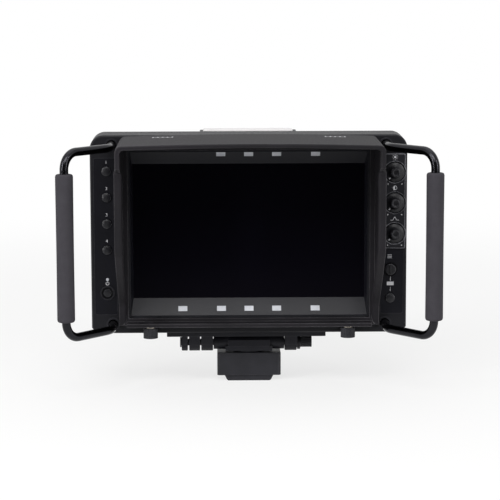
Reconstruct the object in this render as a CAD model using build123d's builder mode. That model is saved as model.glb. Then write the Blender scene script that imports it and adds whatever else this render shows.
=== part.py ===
from build123d import *
from math import asin, degrees, hypot
import os

# A studio camera viewfinder: a flat display with a deep light hood and two padded
# hand rails, on a tilt hinge and a pan turntable over a camera shoe.
# Millimetres. +X is to the operator's right, the screen faces -Y and +Z is up. The
# origin is the centre of the shoe's underside, on the pan axis.

# Camera shoe and base block
SHOE_HEIGHT = 4.2
SHOE_TOP_WIDTH = 36.4
SHOE_FOOT_WIDTH = 33.2
SHOE_LENGTH = 26.0
SHOE_CHAMFER = 1.0
LOCK_HOLE_RADIUS = 3.0
LOCK_HOLE_DEPTH = 3.0
SHOE_SCREW_GRID = (24.0, 17.0)
SHOE_SCREW_RADIUS = 1.2
SHOE_SCREW_LENGTH = 11.0
SHOE_SCREW_HEAD = 2.4
SHOE_SCREW_HEAD_HEIGHT = 1.4
BLOCK_WIDTH = 47.4
BLOCK_LENGTH = 28.0
BLOCK_HEIGHT = 16.9
BLOCK_CHAMFER = 1.4
BLOCK_EDGE = 0.6
POCKET_RADIUS = 8.8
POCKET_DEPTH = 9.6

# Pan turntable
STUD_RADIUS = 4.0
STUD_LENGTH = 17.0
STUD_SEAT = 3.2
STUD_POINT = 0.6
BUSH_WALL = 2.0
PAN_WASHER_RADIUS = 11.5
PAN_WASHER_THICKNESS = 1.3
PAN_NUT_RADIUS = 7.4
PAN_NUT_HEIGHT = 4.0
TURN_GAP = 0.2
SHAFT_FIT = 0.05

# Tilt hinge: where each segment starts and ends along X, from left to right
KNUCKLE_RADIUS = 6.35
KNUCKLE_FRONT = 12.0
KNUCKLE_CLEARANCE = 0.55
HINGE_SETBACK = 20.0
HINGE_PIN_RADIUS = 2.5
HINGE_PIN_HEAD = 1.0
HINGE_PIN_HEAD_RADIUS = 3.8
END_CHEEK = (-50.2, -45.7)
FRICTION_UNIT = (-44.6, -36.5)
LEFT_KNUCKLE = (-35.6, -26.8)
RIGHT_KNUCKLE = (26.8, 35.7)
TENSION_WASHERS = (36.2, 38.3)
TENSION_WASHER_RADIUS = 5.6
TENSION_SPACER_RADIUS = 4.4
TENSION_KNOB = (39.0, 47.0)
TENSION_KNOB_RADIUS = 4.0
TENSION_KNOB_FLOOR = 2.5
TENSION_FLUTES = 18
KNURL_DEPTH = 0.5
KNUCKLE_EDGE = 0.4
BARREL_RADIUS = 5.2
BARREL_GAP = 0.4
NECK_TOP_WIDTH = 31.2
NECK_FOOT_WIDTH = 35.0
NECK_CROWN = 6.0
NECK_FRONT = 6.6
NECK_FRONT_RISE = 2.5
NECK_TOE = 7.2
NECK_HEEL = 12.0
NECK_HEEL_BEVEL = 1.5
NECK_STEP = 3.4
NECK_EDGE = 0.6
NECK_DISC_RADIUS = 12.5
NECK_DISC_HEIGHT = 1.0

# Mounting plate under the display
MOUNT_PLATE_THICKNESS = 4.35
MOUNT_PLATE_WIDTH = 118.0
MOUNT_PLATE_SHIFT = -2.0
MOUNT_PLATE_DEPTH = 24.0
MOUNT_PLATE_CORNER = 1.5
MOUNT_SCREW_COUNT = 4
MOUNT_SCREW_PITCH = 36.0
MOUNT_SCREW_DEPTH = 15.0
MOUNT_SCREW_RADIUS = 1.5
MOUNT_SCREW_HEAD = 2.9
MOUNT_SCREW_HEAD_HEIGHT = 1.6
MOUNT_SCREW_LENGTH = 10.0
MOUNT_BOSS_WALL = 2.0
MOUNT_BOSS_HEIGHT = 3.5

# Screen and its bezel
VIEW_WIDTH = 170.6
VIEW_HEIGHT = 99.8
BEZEL_SIDE = 2.4
BEZEL_TOP = 10.2
BEZEL_BOTTOM = 12.6
BEZEL_DEPTH = 8.0
BEZEL_LIP = 0.8
BEZEL_SET_BACK = 0.5
BEZEL_FIT = 0.1
BEZEL_FLANGE = 2.0
BEZEL_FLANGE_THICKNESS = 1.5
GLASS_THICKNESS = 1.2
PANEL_THICKNESS = 4.0
PANEL_MARGIN = 1.6
WINDOW_WIDTH = 6.6
WINDOW_HEIGHT = 4.0
WINDOW_DEPTH = 0.8
WINDOW_PITCH = 20.4
WINDOW_OUTER = 48.9
WINDOW_SET_TOP = 2.4
WINDOW_SET_BOTTOM = 5.4

# Display case
TOP_MARGIN = 11.6
BOTTOM_MARGIN = 12.4
STRIP_WIDTH = 20.5
CASE_FRONT = 26.0
CASE_DEPTH = 22.0
CASE_WALL = 3.0
TOP_CORNER = 10.0
FOOT_CHAMFER = 4.0
EDGE_ROUND = 1.4
SEAL_THICKNESS = 0.6
SEAL_INSET = 0.6
COVER_RIM = 8.0
COVER_SHOULDER = 10.0
COVER_BOX_DEPTH = 18.0
COVER_WALL = 2.5
SHOULDER_WALL = 1.5
SHOULDER_SIDE = 16.0
SHOULDER_END = 15.3
COVER_ROUND = 2.0
CASE_BOSS_RADIUS = 3.2
CASE_SCREW_RADIUS = 1.2
CASE_SCREW_HEAD = 2.5
CASE_SCREW_LENGTH = 17.0
CASE_SCREW_X = (42.0, 86.0)
CASE_SCREW_INSET = 6.0
CASE_SCREW_SINK = 1.0
COVER_BOSS_WALL = 0.9

# Light hood
HOOD_MARGIN = 3.1
HOOD_RIM = 3.5
HOOD_TAB_WALL = 1.8
HOOD_ROOF = 2.6
HOOD_RIM_ROOF = 3.0
HOOD_RIM_DEPTH = 3.0
HOOD_LENGTH = 76.0
HOOD_SET_DOWN = 0.9
HOOD_CROWN = 1.55
HOOD_CORNER = 4.5
HOOD_ROUND = 0.9
HOOD_TAB_DROP = 16.4
HOOD_FRAME_DEPTH = 3.0
HOOD_FRAME_LIP = 0.8
HOOD_FIT = 0.2
WING_STEP = 1.2
WING_GAP = 2.8
WING_LENGTH = 64.0
WING_FLANGE = 5.5
WING_FLANGE_DEPTH = 2.4
WING_BREAK = 69.3
WING_KNEE = (38.0, 46.3)
WING_ANKLE = (8.0, 23.3)
WING_TOE = 3.0
WING_TOP_ROUND = 2.0
WING_BREAK_ROUND = 13.0
WING_KNEE_ROUND = 30.0
WING_ANKLE_ROUND = 8.0
WING_FLANGE_LAND = 0.05
WING_FLANGE_ROUND = 2.2
FLAP_THICKNESS = 1.2
FLAP_RISE = 12.8
FLAP_OVERLAP = 13.2
LEDGE_DEPTH = 12.0
LEDGE_THICKNESS = 2.8
LEDGE_DROP = 3.3

# Hood thumbscrews
THUMB_INSET = 43.5
THUMB_FORWARD = 7.0
THUMB_HEAD_RADIUS = 5.3
THUMB_HEAD_HEIGHT = 7.2
THUMB_COLLAR_RADIUS = 3.0
THUMB_COLLAR_HEIGHT = 1.2
THUMB_THREAD_RADIUS = 2.0
THUMB_FLUTES = 24

# Hand rails
ROD_RADIUS = 3.1
RAIL_INSET_X = 15.8
RAIL_INSET_Z = 7.0
RAIL_STRAIGHT = 23.0
RAIL_OUTWARD = 30.3
RAIL_FORWARD = 58.3
RAIL_ELBOW = 16.0
RAIL_CORNER = 12.0
RAIL_SEAT = 12.0
RAIL_BOSS_RADIUS = 6.6
RAIL_BOSS_BACK = 14.0
RAIL_HOLE_GAP = 0.6
RAIL_RING_WALL = 0.9
RAIL_RING_PROUD = 0.5
RAIL_SCREW_RADIUS = 1.2
RAIL_SCREW_LENGTH = 9.0
RAIL_SCREW_HEAD = 2.6
GRIP_RADIUS = 6.35
GRIP_LENGTH = 105.6
GRIP_DROP = 1.2
GRIP_ROUND = 1.5

# Control panels and buttons
PANEL_SHEET = 0.6
PANEL_EDGE = 2.8
PANEL_WIDTH = 16.0
PANEL_DROP = 16.8
PANEL_RISE = 14.3
PANEL_CORNER = 1.2
PANEL_GAP = 0.1
PANEL_SPLIT = 0.8
BUTTON_COUNT = 4
BUTTON_INSET = 11.9
BUTTON_DROP = 26.2
BUTTON_PITCH = 19.35
BUTTON_RADIUS = 3.3
BUTTON_PROUD = 1.6
BUTTON_DOME = 0.7
BUTTON_SKIRT = 0.9
BUTTON_TRAVEL = 0.8
BUTTON_FIT = 0.25
POWER_DROP = 32.1
POWER_RADIUS = 2.75
POWER_PROUD = 0.3
POWER_DOME = 0.3
POWER_WELL_RADIUS = 4.5
POWER_WELL_DEPTH = 1.4
POWER_GUARD_WALL = 0.8
POWER_GUARD_PROUD = 0.7
LED_RISE = 10.1
LED_RADIUS = 1.1
LED_PROUD = 0.3
ASSIGN_DROP = 21.4

# Picture knobs and their raised panel
KNOB_COUNT = 3
KNOB_INSET = 9.1
KNOB_DROP = 27.55
KNOB_PITCH = 22.6
KNOB_RADIUS = 7.4
KNOB_SKIRT = 1.4
KNOB_CONE = 0.8
KNOB_CONE_HEIGHT = 2.6
KNOB_HEIGHT = 8.2
KNOB_STEM_RADIUS = 3.7
KNOB_STEM_ROUND = 0.6
KNOB_SPINDLE_RADIUS = 3.0
KNOB_SPINDLE_DEPTH = 10.4
KNOB_FLOAT = 0.3
KNOB_WELL_GAP = 0.6
KNOB_WELL_DEPTH = 1.6
KNOB_PANEL_PROUD = 1.5
KNOB_PANEL_WIDTH = 17.0
KNOB_PANEL_EDGE = 1.4
KNOB_PANEL_BEVEL = 0.4
KNOB_PANEL_ABOVE = 13.6
KNOB_PANEL_BELOW = 11.25
KNOB_BULGE = 0.5
POINTER_ANGLE = 35.0
POINTER_WIDTH = 0.9
POINTER_DEPTH = 0.25

# Menu dial
MENU_INSET = 11.9
MENU_DROP = 15.6
MENU_RADIUS = 4.1
MENU_PROUD = 2.6
MENU_RIDGE = 1.3
MENU_WELL_GAP = 0.9
MENU_WELL_DEPTH = 1.6
MENU_TRAVEL = 0.5
MENU_FLOAT = 0.3
MENU_SPINDLE_RADIUS = 1.6
MENU_SPINDLE_DEPTH = 9.5
PLUNGER_WALL = 0.9
PLUNGER_LENGTH = 5.0

# Boards and what they carry
BOARD_THICKNESS = 1.6
BOARD_WIDTH = 12.0
LEFT_BOARD_DEPTH = 7.0
RIGHT_BOARD_DEPTH = 12.0
POST_RADIUS = 1.8
SWITCH_SIZE = 6.0
SWITCH_BODY = 1.5
SWITCH_GAP = 0.1
POT_RADIUS = 5.2
POT_FLOOR = 1.0
ENCODER_SIZE = 9.0
CHASSIS_THICKNESS = 2.0
CHASSIS_MARGIN = 4.0
SPACER_HEIGHT = 5.0
SPACER_RADIUS = 2.5
MAIN_BOARD_WIDTH = 150.0
MAIN_BOARD_HEIGHT = 84.0
CHIP_HEIGHT = 2.2
CHIP_SIZE = 22.0
MEMORY_CHIPS = 4
POST_GAP = 0.5
POST_MARGIN = 8.0

# Rear of the case
HEAT_SINK_WIDTH = 104.0
HEAT_SINK_HEIGHT = 54.0
HEAT_SINK_BASE = 3.0
HEAT_SINK_MARGIN = 4.0
HEAT_SINK_RISE = 13.0
FIN_COUNT = 13
FIN_THICKNESS = 1.8
FIN_PROUD = 1.2
CONNECTOR_RADIUS = 11.0
CONNECTOR_WALL = 2.0
CONNECTOR_FLANGE = 29.0
CONNECTOR_FLANGE_THICKNESS = 2.0
CONNECTOR_LENGTH = 9.0
CONNECTOR_RECESS = 2.0
CONNECTOR_PINS = 8
CONNECTOR_PIN_RADIUS = 0.7
CONNECTOR_PIN_CIRCLE = 5.4
CONNECTOR_X = -66.0
CONNECTOR_Z = -34.0
VENT_COUNT = 6
VENT_LENGTH = 20.0
VENT_WIDTH = 2.4
VENT_PITCH = 6.0
VENT_X = 76.0
VENT_Z = 18.0
TALLY_WIDTH = 66.8
TALLY_DEPTH = 13.0
TALLY_PROUD = 1.4
TALLY_SEAT = 3.4
TALLY_BORDER = 2.4
TALLY_ROUND = 1.2
TALLY_EDGE = 0.9
TALLY_SET_DOWN = 0.4

# Sizes that follow from the ones above
block_top = SHOE_HEIGHT + BLOCK_HEIGHT
pocket_top = SHOE_HEIGHT + POCKET_DEPTH
neck_foot = block_top + TURN_GAP + PAN_WASHER_THICKNESS
tilt_z = block_top + KNUCKLE_CLEARANCE + KNUCKLE_RADIUS
tilt_y = HINGE_SETBACK - CASE_FRONT
neck_drop = neck_foot - tilt_z
mount_under = tilt_z + KNUCKLE_RADIUS
case_foot = mount_under + MOUNT_PLATE_THICKNESS
mount_screw_x = [
    MOUNT_PLATE_SHIFT + MOUNT_SCREW_PITCH * (n - (MOUNT_SCREW_COUNT - 1) / 2)
    for n in range(MOUNT_SCREW_COUNT)
]
mount_screw_y = MOUNT_SCREW_DEPTH - CASE_FRONT

open_half = VIEW_WIDTH / 2 + BEZEL_SIDE
open_height = VIEW_HEIGHT + BEZEL_TOP + BEZEL_BOTTOM
hood_inner = open_half + HOOD_MARGIN
hood_half = hood_inner + HOOD_RIM
side_inner = hood_half - HOOD_TAB_WALL
wing_half = hood_half + WING_STEP
body_half = wing_half + STRIP_WIDTH
body_height = open_height + TOP_MARGIN + BOTTOM_MARGIN
case_top = body_height / 2
case_centre = case_foot + case_top
open_top = case_top - TOP_MARGIN
open_bottom = open_top - open_height
view_top = open_top - BEZEL_TOP
view_bottom = view_top - VIEW_HEIGHT
view_centre = (view_top + view_bottom) / 2
lip_top = open_top - BEZEL_LIP
lip_bottom = open_bottom + BEZEL_LIP
window_x = [-WINDOW_OUTER, -WINDOW_PITCH, 0, WINDOW_PITCH, WINDOW_OUTER]

glass_back = BEZEL_DEPTH + GLASS_THICKNESS
panel_back = glass_back + PANEL_THICKNESS
chassis_back = panel_back + CHASSIS_THICKNESS
main_board_front = chassis_back + SPACER_HEIGHT
chip_back = main_board_front + BOARD_THICKNESS + CHIP_HEIGHT
chassis_post_x = open_half + BEZEL_FLANGE + POST_RADIUS + POST_GAP
chassis_half = chassis_post_x + POST_RADIUS + POST_GAP
chassis_posts = [
    (side * chassis_post_x, z) for side in (-1, 1) for z in (view_bottom + POST_MARGIN, view_top - POST_MARGIN)
]
cover_front = CASE_DEPTH + SEAL_THICKNESS
rim_back = CASE_DEPTH + COVER_RIM
shoulder_back = rim_back + COVER_SHOULDER
cover_back = shoulder_back + COVER_BOX_DEPTH
case_screw_z = case_top - CASE_SCREW_INSET
case_screw_seat = rim_back - CASE_SCREW_SINK
case_screw_tip = case_screw_seat - CASE_SCREW_LENGTH
heat_sink_opening = HEAT_SINK_WIDTH - 2 * HEAT_SINK_MARGIN
tally_pad_width = TALLY_WIDTH + 2 * TALLY_BORDER
tally_pad_depth = TALLY_DEPTH + 2 * TALLY_BORDER
tally_y = rim_back + tally_pad_depth / 2 - CASE_FRONT
tally_pad_top = case_top - TALLY_SET_DOWN
tally_seat_z = tally_pad_top - TALLY_SEAT
case_screws = [(sx * x, sz * case_screw_z) for x in CASE_SCREW_X for sx in (-1, 1) for sz in (-1, 1)]

roof_z = case_top - HOOD_SET_DOWN
tab_foot = roof_z - HOOD_TAB_DROP
wing_top = tab_foot - WING_GAP
ledge_top = open_bottom - LEDGE_DROP
ledge_foot = ledge_top - LEDGE_THICKNESS
wing_foot = ledge_foot
frame_half = side_inner - HOOD_FIT / 2
ledge_half = wing_half - WING_FLANGE - HOOD_FIT
wing_sweep = [(WING_LENGTH, WING_BREAK), WING_KNEE, WING_ANKLE]
wing_rim = WING_FLANGE_ROUND + WING_FLANGE_LAND
wing_flange_lift = max(
    (wing_rim * hypot(y1 - y0, z1 - z0) - WING_FLANGE_DEPTH * (z1 - z0)) / (y1 - y0)
    for (y1, z1), (y0, z0) in zip(wing_sweep, wing_sweep[1:])
)
thumb_x = body_half - THUMB_INSET
thumb_points = [(side * thumb_x, -CASE_FRONT - THUMB_FORWARD) for side in (-1, 1)]

rail_x = body_half - RAIL_INSET_X
rail_z = case_top - RAIL_INSET_Z
grip_x = rail_x + RAIL_OUTWARD
grip_y = -CASE_FRONT - RAIL_FORWARD
rail_ends = [(side * rail_x, end * rail_z) for side in (-1, 1) for end in (-1, 1)]
button_x = -(body_half - BUTTON_INSET)
button_z = [case_top - BUTTON_DROP - BUTTON_PITCH * n for n in range(BUTTON_COUNT)]
button_points = [(button_x, z) for z in button_z]
power_point = (button_x, button_z[-1] - POWER_DROP)
led_point = (button_x, power_point[1] + LED_RISE)
knob_x = body_half - KNOB_INSET
knob_z = [case_top - KNOB_DROP - KNOB_PITCH * n for n in range(KNOB_COUNT)]
knob_points = [(knob_x, z) for z in knob_z]
knob_well = KNOB_RADIUS + KNOB_WELL_GAP
knob_back = KNOB_WELL_DEPTH - KNOB_PANEL_PROUD - KNOB_FLOAT
knob_panel_top = knob_z[0] + KNOB_PANEL_ABOVE
knob_panel_foot = knob_z[-1] - KNOB_PANEL_BELOW
knob_panel_outer = body_half - KNOB_PANEL_EDGE
menu_x = body_half - MENU_INSET
menu_z = knob_panel_foot - MENU_DROP
menu_point = (menu_x, menu_z)
assign_point = (menu_x, menu_z - ASSIGN_DROP)
menu_back = MENU_WELL_DEPTH - MENU_TRAVEL - MENU_FLOAT
plunger_radius = MENU_SPINDLE_RADIUS + SHAFT_FIT + PLUNGER_WALL
plunger_back = MENU_SPINDLE_DEPTH + SWITCH_GAP + PLUNGER_WALL
panel_outer = body_half - PANEL_EDGE
panel_top = case_top - PANEL_DROP
panel_foot = PANEL_RISE - case_top
right_panel_top = knob_panel_foot - PANEL_SPLIT
left_board_posts = [
    (button_x, (button_z[0] + button_z[1]) / 2),
    (button_x, (button_z[-1] + led_point[1]) / 2),
]
right_board_x = (knob_x + menu_x) / 2
right_board_posts = [
    (knob_x, (knob_z[0] + knob_z[1]) / 2),
    (right_board_x, (menu_z + assign_point[1]) / 2),
]
button_back = CASE_WALL + SWITCH_GAP + BUTTON_SKIRT
switch_front = button_back + BUTTON_TRAVEL + SWITCH_GAP

ON_BASE = (Align.CENTER, Align.CENTER, Align.MIN)
underside = Plane(origin=(0, 0, 0), x_dir=(1, 0, 0), z_dir=(0, 0, -1))
mount_screw_seats = [
    Plane(origin=(x, mount_screw_y, mount_under), x_dir=(1, 0, 0), z_dir=(0, 0, -1)) for x in mount_screw_x
]

os.makedirs("parts", exist_ok=True)


def save(builder, label):
    """Label a finished piece and write its STEP file."""
    builder.part.label = label
    export_step(builder.part, f"parts/{label}.step")


def front(depth):
    """The plane this far behind the case's front face: x right, y up, normal forwards."""
    return Plane(origin=(0, depth - CASE_FRONT, case_centre), x_dir=(1, 0, 0), z_dir=(0, -1, 0))


def turning(x, z):
    """The plane for half the profile of a control: x is its radius, y its depth from the front."""
    return Plane(origin=(x, -CASE_FRONT, case_centre + z), x_dir=(1, 0, 0), z_dir=(0, 0, 1))


def control_axis(x, z):
    """The line through a front control, pointing into the case."""
    return Axis((x, -CASE_FRONT, case_centre + z), (0, 1, 0))


def hinge_section(x):
    """The plane across X at the tilt axis: local x runs backwards and y up from the axis."""
    return Plane(origin=(x, tilt_y, tilt_z), x_dir=(0, 1, 0), z_dir=(1, 0, 0))


def hood_side(x):
    """The plane across X at the case's front: local x runs forwards, y up, normal to the left."""
    return Plane(origin=(x, -CASE_FRONT, case_centre), x_dir=(0, -1, 0), z_dir=(-1, 0, 0))


def level(z):
    """The horizontal plane at this height."""
    return Plane.XY.offset(z)


def span(x0, x1, y0, y1, mode=Mode.ADD):
    """A rectangle between these limits, in the current sketch."""
    with Locations(((x0 + x1) / 2, (y0 + y1) / 2)):
        Rectangle(x1 - x0, y1 - y0, mode=mode)


def discs(points, radius, mode=Mode.ADD):
    """Equal circles at these points, in the current sketch."""
    with Locations(*points):
        Circle(radius, mode=mode)


def housing_outline(half_width, half_height, inset):
    """A housing seen from the front: round upper corners and bevelled lower ones."""
    with BuildSketch() as outline:
        Rectangle(2 * (half_width - inset), 2 * (half_height - inset))
        fillet(outline.vertices().group_by(Axis.Y)[-1], TOP_CORNER - inset)
        chamfer(outline.vertices().group_by(Axis.Y)[0], FOOT_CHAMFER - inset / 2)
    return outline.sketch


def case_outline(inset=0.0):
    """The outline that the front case, the seal and the cover's rim share."""
    return housing_outline(body_half, case_top, inset)


def rear_outline(inset=0.0):
    """The smaller outline of the cover's rear box."""
    return housing_outline(body_half - SHOULDER_SIDE, case_top - SHOULDER_END, inset)


# Camera shoe, with the blind hole for the camera's lock pin
with BuildPart() as mount_shoe:
    with BuildSketch(Plane.XZ.offset(SHOE_LENGTH / 2)):
        with BuildLine():
            Polyline(
                (SHOE_CHAMFER - SHOE_FOOT_WIDTH / 2, 0),
                (SHOE_FOOT_WIDTH / 2 - SHOE_CHAMFER, 0),
                (SHOE_FOOT_WIDTH / 2, SHOE_CHAMFER),
                (SHOE_TOP_WIDTH / 2, SHOE_HEIGHT),
                (-SHOE_TOP_WIDTH / 2, SHOE_HEIGHT),
                (-SHOE_FOOT_WIDTH / 2, SHOE_CHAMFER),
                close=True,
            )
        make_face()
    extrude(amount=-SHOE_LENGTH)
    with BuildSketch(level(0)):
        Circle(LOCK_HOLE_RADIUS)
    extrude(amount=LOCK_HOLE_DEPTH, mode=Mode.SUBTRACT)
    with Locations(underside):
        with GridLocations(SHOE_SCREW_GRID[0], SHOE_SCREW_GRID[1], 2, 2):
            CounterSinkHole(SHOE_SCREW_RADIUS + SHAFT_FIT, SHOE_SCREW_HEAD + SHAFT_FIT, SHOE_HEIGHT)
save(mount_shoe, "mount_shoe")

# Four countersunk screws hold the shoe to the block
with BuildPart() as shoe_screws:
    with GridLocations(SHOE_SCREW_GRID[0], SHOE_SCREW_GRID[1], 2, 2):
        Cone(SHOE_SCREW_HEAD, SHOE_SCREW_RADIUS, SHOE_SCREW_HEAD_HEIGHT, align=ON_BASE)
        Cylinder(SHOE_SCREW_RADIUS, SHOE_SCREW_LENGTH, align=ON_BASE)
save(shoe_screws, "shoe_screws")

# Base block: a bush bore on the pan axis above a pocket for the nut
with BuildPart() as base_block:
    with BuildSketch(level(SHOE_HEIGHT)):
        Rectangle(BLOCK_WIDTH, BLOCK_LENGTH)
    extrude(amount=BLOCK_HEIGHT)
    chamfer(base_block.edges().filter_by(Axis.Z), BLOCK_CHAMFER)
    fillet(base_block.faces().sort_by(Axis.Z)[-1].edges(), BLOCK_EDGE)
    with BuildSketch(level(SHOE_HEIGHT)):
        Circle(POCKET_RADIUS)
    extrude(amount=POCKET_DEPTH, mode=Mode.SUBTRACT)
    with BuildSketch(level(pocket_top)):
        Circle(STUD_RADIUS + SHAFT_FIT + BUSH_WALL)
    extrude(amount=block_top - pocket_top, mode=Mode.SUBTRACT)
    with BuildSketch(level(SHOE_HEIGHT)):
        with GridLocations(SHOE_SCREW_GRID[0], SHOE_SCREW_GRID[1], 2, 2):
            Circle(SHOE_SCREW_RADIUS)
    extrude(amount=SHOE_SCREW_LENGTH - SHOE_HEIGHT, mode=Mode.SUBTRACT)
save(base_block, "base_block")

# Pan bush, stud, nut and washer: the stud turns with the yoke and the nut draws it down
with BuildPart() as pan_bush:
    with BuildSketch(level(pocket_top)):
        Circle(STUD_RADIUS + SHAFT_FIT + BUSH_WALL)
        Circle(STUD_RADIUS + SHAFT_FIT, mode=Mode.SUBTRACT)
    extrude(amount=block_top - pocket_top)
save(pan_bush, "pan_bush")

with BuildPart() as pan_stud:
    with BuildSketch(level(neck_foot + STUD_SEAT - STUD_LENGTH)):
        Circle(STUD_RADIUS)
    extrude(amount=STUD_LENGTH)
    chamfer(pan_stud.edges().sort_by(Axis.Z)[0], STUD_POINT)
save(pan_stud, "pan_stud")

with BuildPart() as pan_nut:
    with BuildSketch(level(pocket_top - TURN_GAP - PAN_NUT_HEIGHT)):
        RegularPolygon(PAN_NUT_RADIUS, 6)
        Circle(STUD_RADIUS, mode=Mode.SUBTRACT)
    extrude(amount=PAN_NUT_HEIGHT)
save(pan_nut, "pan_nut")

with BuildPart() as pan_washer:
    with BuildSketch(level(block_top + TURN_GAP)):
        Circle(PAN_WASHER_RADIUS)
        Circle(STUD_RADIUS, mode=Mode.SUBTRACT)
    extrude(amount=PAN_WASHER_THICKNESS)
save(pan_washer, "pan_washer")

# Yoke: a neck with an arched head, a round foot and the barrel between the knuckles
with BuildPart() as yoke:
    with BuildSketch(hinge_section(-NECK_TOP_WIDTH / 2)):
        with BuildLine():
            Polyline((-NECK_FRONT, NECK_FRONT_RISE), (-NECK_TOE, neck_drop), (NECK_HEEL, neck_drop),
                     (NECK_CROWN, 0))
            RadiusArc((NECK_CROWN, 0), (0, NECK_CROWN), -NECK_CROWN)
            Line((0, NECK_CROWN), (-NECK_FRONT, NECK_FRONT_RISE))
        make_face()
    extrude(amount=NECK_TOP_WIDTH)
    with BuildSketch(hinge_section(-NECK_FOOT_WIDTH / 2)):
        with BuildLine():
            Polyline((-NECK_TOE, neck_drop), (NECK_HEEL, neck_drop),
                     (NECK_HEEL, neck_drop + NECK_STEP - NECK_HEEL_BEVEL),
                     (NECK_HEEL - NECK_HEEL_BEVEL, neck_drop + NECK_STEP),
                     (-NECK_TOE, neck_drop + NECK_STEP), close=True)
        make_face()
    extrude(amount=NECK_FOOT_WIDTH)
    chamfer(yoke.faces().filter_by(Plane.YZ).group_by(Axis.X)[0].edges().group_by(Axis.Z)[-1], NECK_EDGE)
    chamfer(yoke.faces().filter_by(Plane.YZ).group_by(Axis.X)[-1].edges().group_by(Axis.Z)[-1], NECK_EDGE)
    with BuildSketch(level(neck_foot)):
        Circle(NECK_DISC_RADIUS)
    extrude(amount=NECK_DISC_HEIGHT)
    with BuildSketch(hinge_section(LEFT_KNUCKLE[1] + BARREL_GAP)):
        Circle(BARREL_RADIUS)
    extrude(amount=RIGHT_KNUCKLE[0] - LEFT_KNUCKLE[1] - 2 * BARREL_GAP)
    with BuildSketch(hinge_section(LEFT_KNUCKLE[1])):
        Circle(HINGE_PIN_RADIUS)
    extrude(amount=RIGHT_KNUCKLE[0] - LEFT_KNUCKLE[1], mode=Mode.SUBTRACT)
    with BuildSketch(level(neck_foot)):
        Circle(STUD_RADIUS)
    extrude(amount=STUD_SEAT, mode=Mode.SUBTRACT)
save(yoke, "yoke")

# Hinge pin: a headed rod, pressed into the yoke, that ends inside the tension knob
with BuildPart() as hinge_pin:
    with BuildSketch(hinge_section(END_CHEEK[0])):
        Circle(HINGE_PIN_RADIUS)
    extrude(amount=TENSION_KNOB[1] - TENSION_KNOB_FLOOR - TURN_GAP - END_CHEEK[0])
    with BuildSketch(hinge_section(END_CHEEK[0] - TURN_GAP)):
        Circle(HINGE_PIN_HEAD_RADIUS)
    extrude(amount=-HINGE_PIN_HEAD)
    with BuildSketch(hinge_section(END_CHEEK[0] - TURN_GAP)):
        Circle(HINGE_PIN_RADIUS)
    extrude(amount=TURN_GAP)
save(hinge_pin, "hinge_pin")


def knuckle(limits):
    """A hinge segment with a round front and a square back that meets the mounting plate."""
    with BuildPart() as segment:
        with BuildSketch(hinge_section(limits[0])):
            Circle(KNUCKLE_RADIUS)
            span(-KNUCKLE_FRONT, KNUCKLE_RADIUS, 0, KNUCKLE_RADIUS)
            Circle(HINGE_PIN_RADIUS + SHAFT_FIT, mode=Mode.SUBTRACT)
        extrude(amount=limits[1] - limits[0])
        outer_faces = segment.faces().filter_by(Plane.YZ)
        chamfer(outer_faces.edges().filter_by(GeomType.CIRCLE).group_by(SortBy.RADIUS)[-1], KNUCKLE_EDGE)
    return segment


# The hinge segments under the plate: an end cheek, the friction unit and two knuckles
hinge_end_cheek = knuckle(END_CHEEK)
save(hinge_end_cheek, "hinge_end_cheek")

friction_unit = knuckle(FRICTION_UNIT)
save(friction_unit, "friction_unit")

with BuildPart() as hinge_knuckles:
    add(knuckle(LEFT_KNUCKLE).part)
    add(knuckle(RIGHT_KNUCKLE).part)
save(hinge_knuckles, "hinge_knuckles")

# Spring washers between the right knuckle and the tension knob
with BuildPart() as tension_washers:
    with BuildSketch(hinge_section(RIGHT_KNUCKLE[1])):
        Circle(TENSION_SPACER_RADIUS)
        Circle(HINGE_PIN_RADIUS + SHAFT_FIT, mode=Mode.SUBTRACT)
    extrude(amount=TENSION_KNOB[0] - TURN_GAP - RIGHT_KNUCKLE[1])
    with BuildSketch(hinge_section(TENSION_WASHERS[0])):
        Circle(TENSION_WASHER_RADIUS)
        Circle(HINGE_PIN_RADIUS + SHAFT_FIT, mode=Mode.SUBTRACT)
    extrude(amount=TENSION_WASHERS[1] - TENSION_WASHERS[0])
save(tension_washers, "tension_washers")

# Knurled knob that sets the hinge tension, with a blind bore over the pin's end
with BuildPart() as tension_knob:
    with BuildSketch(hinge_section(TENSION_KNOB[0])):
        Circle(TENSION_KNOB_RADIUS)
        with PolarLocations(TENSION_KNOB_RADIUS, TENSION_FLUTES):
            Rectangle(KNURL_DEPTH, KNURL_DEPTH, rotation=45, mode=Mode.SUBTRACT)
    extrude(amount=TENSION_KNOB[1] - TENSION_KNOB[0])
    with BuildSketch(hinge_section(TENSION_KNOB[0])):
        Circle(HINGE_PIN_RADIUS + SHAFT_FIT)
    extrude(amount=TENSION_KNOB[1] - TENSION_KNOB_FLOOR - TENSION_KNOB[0], mode=Mode.SUBTRACT)
save(tension_knob, "tension_knob")

# Mounting plate and its countersunk screws, in one row under the case
with BuildPart() as mount_plate:
    with BuildSketch(level(mount_under)):
        with Locations((MOUNT_PLATE_SHIFT, tilt_y)):
            Rectangle(MOUNT_PLATE_WIDTH, MOUNT_PLATE_DEPTH)
    extrude(amount=MOUNT_PLATE_THICKNESS)
    fillet(mount_plate.edges().filter_by(Axis.Z), MOUNT_PLATE_CORNER)
    with Locations(*mount_screw_seats):
        CounterSinkHole(MOUNT_SCREW_RADIUS + SHAFT_FIT, MOUNT_SCREW_HEAD + SHAFT_FIT, MOUNT_PLATE_THICKNESS)
save(mount_plate, "mount_plate")

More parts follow.
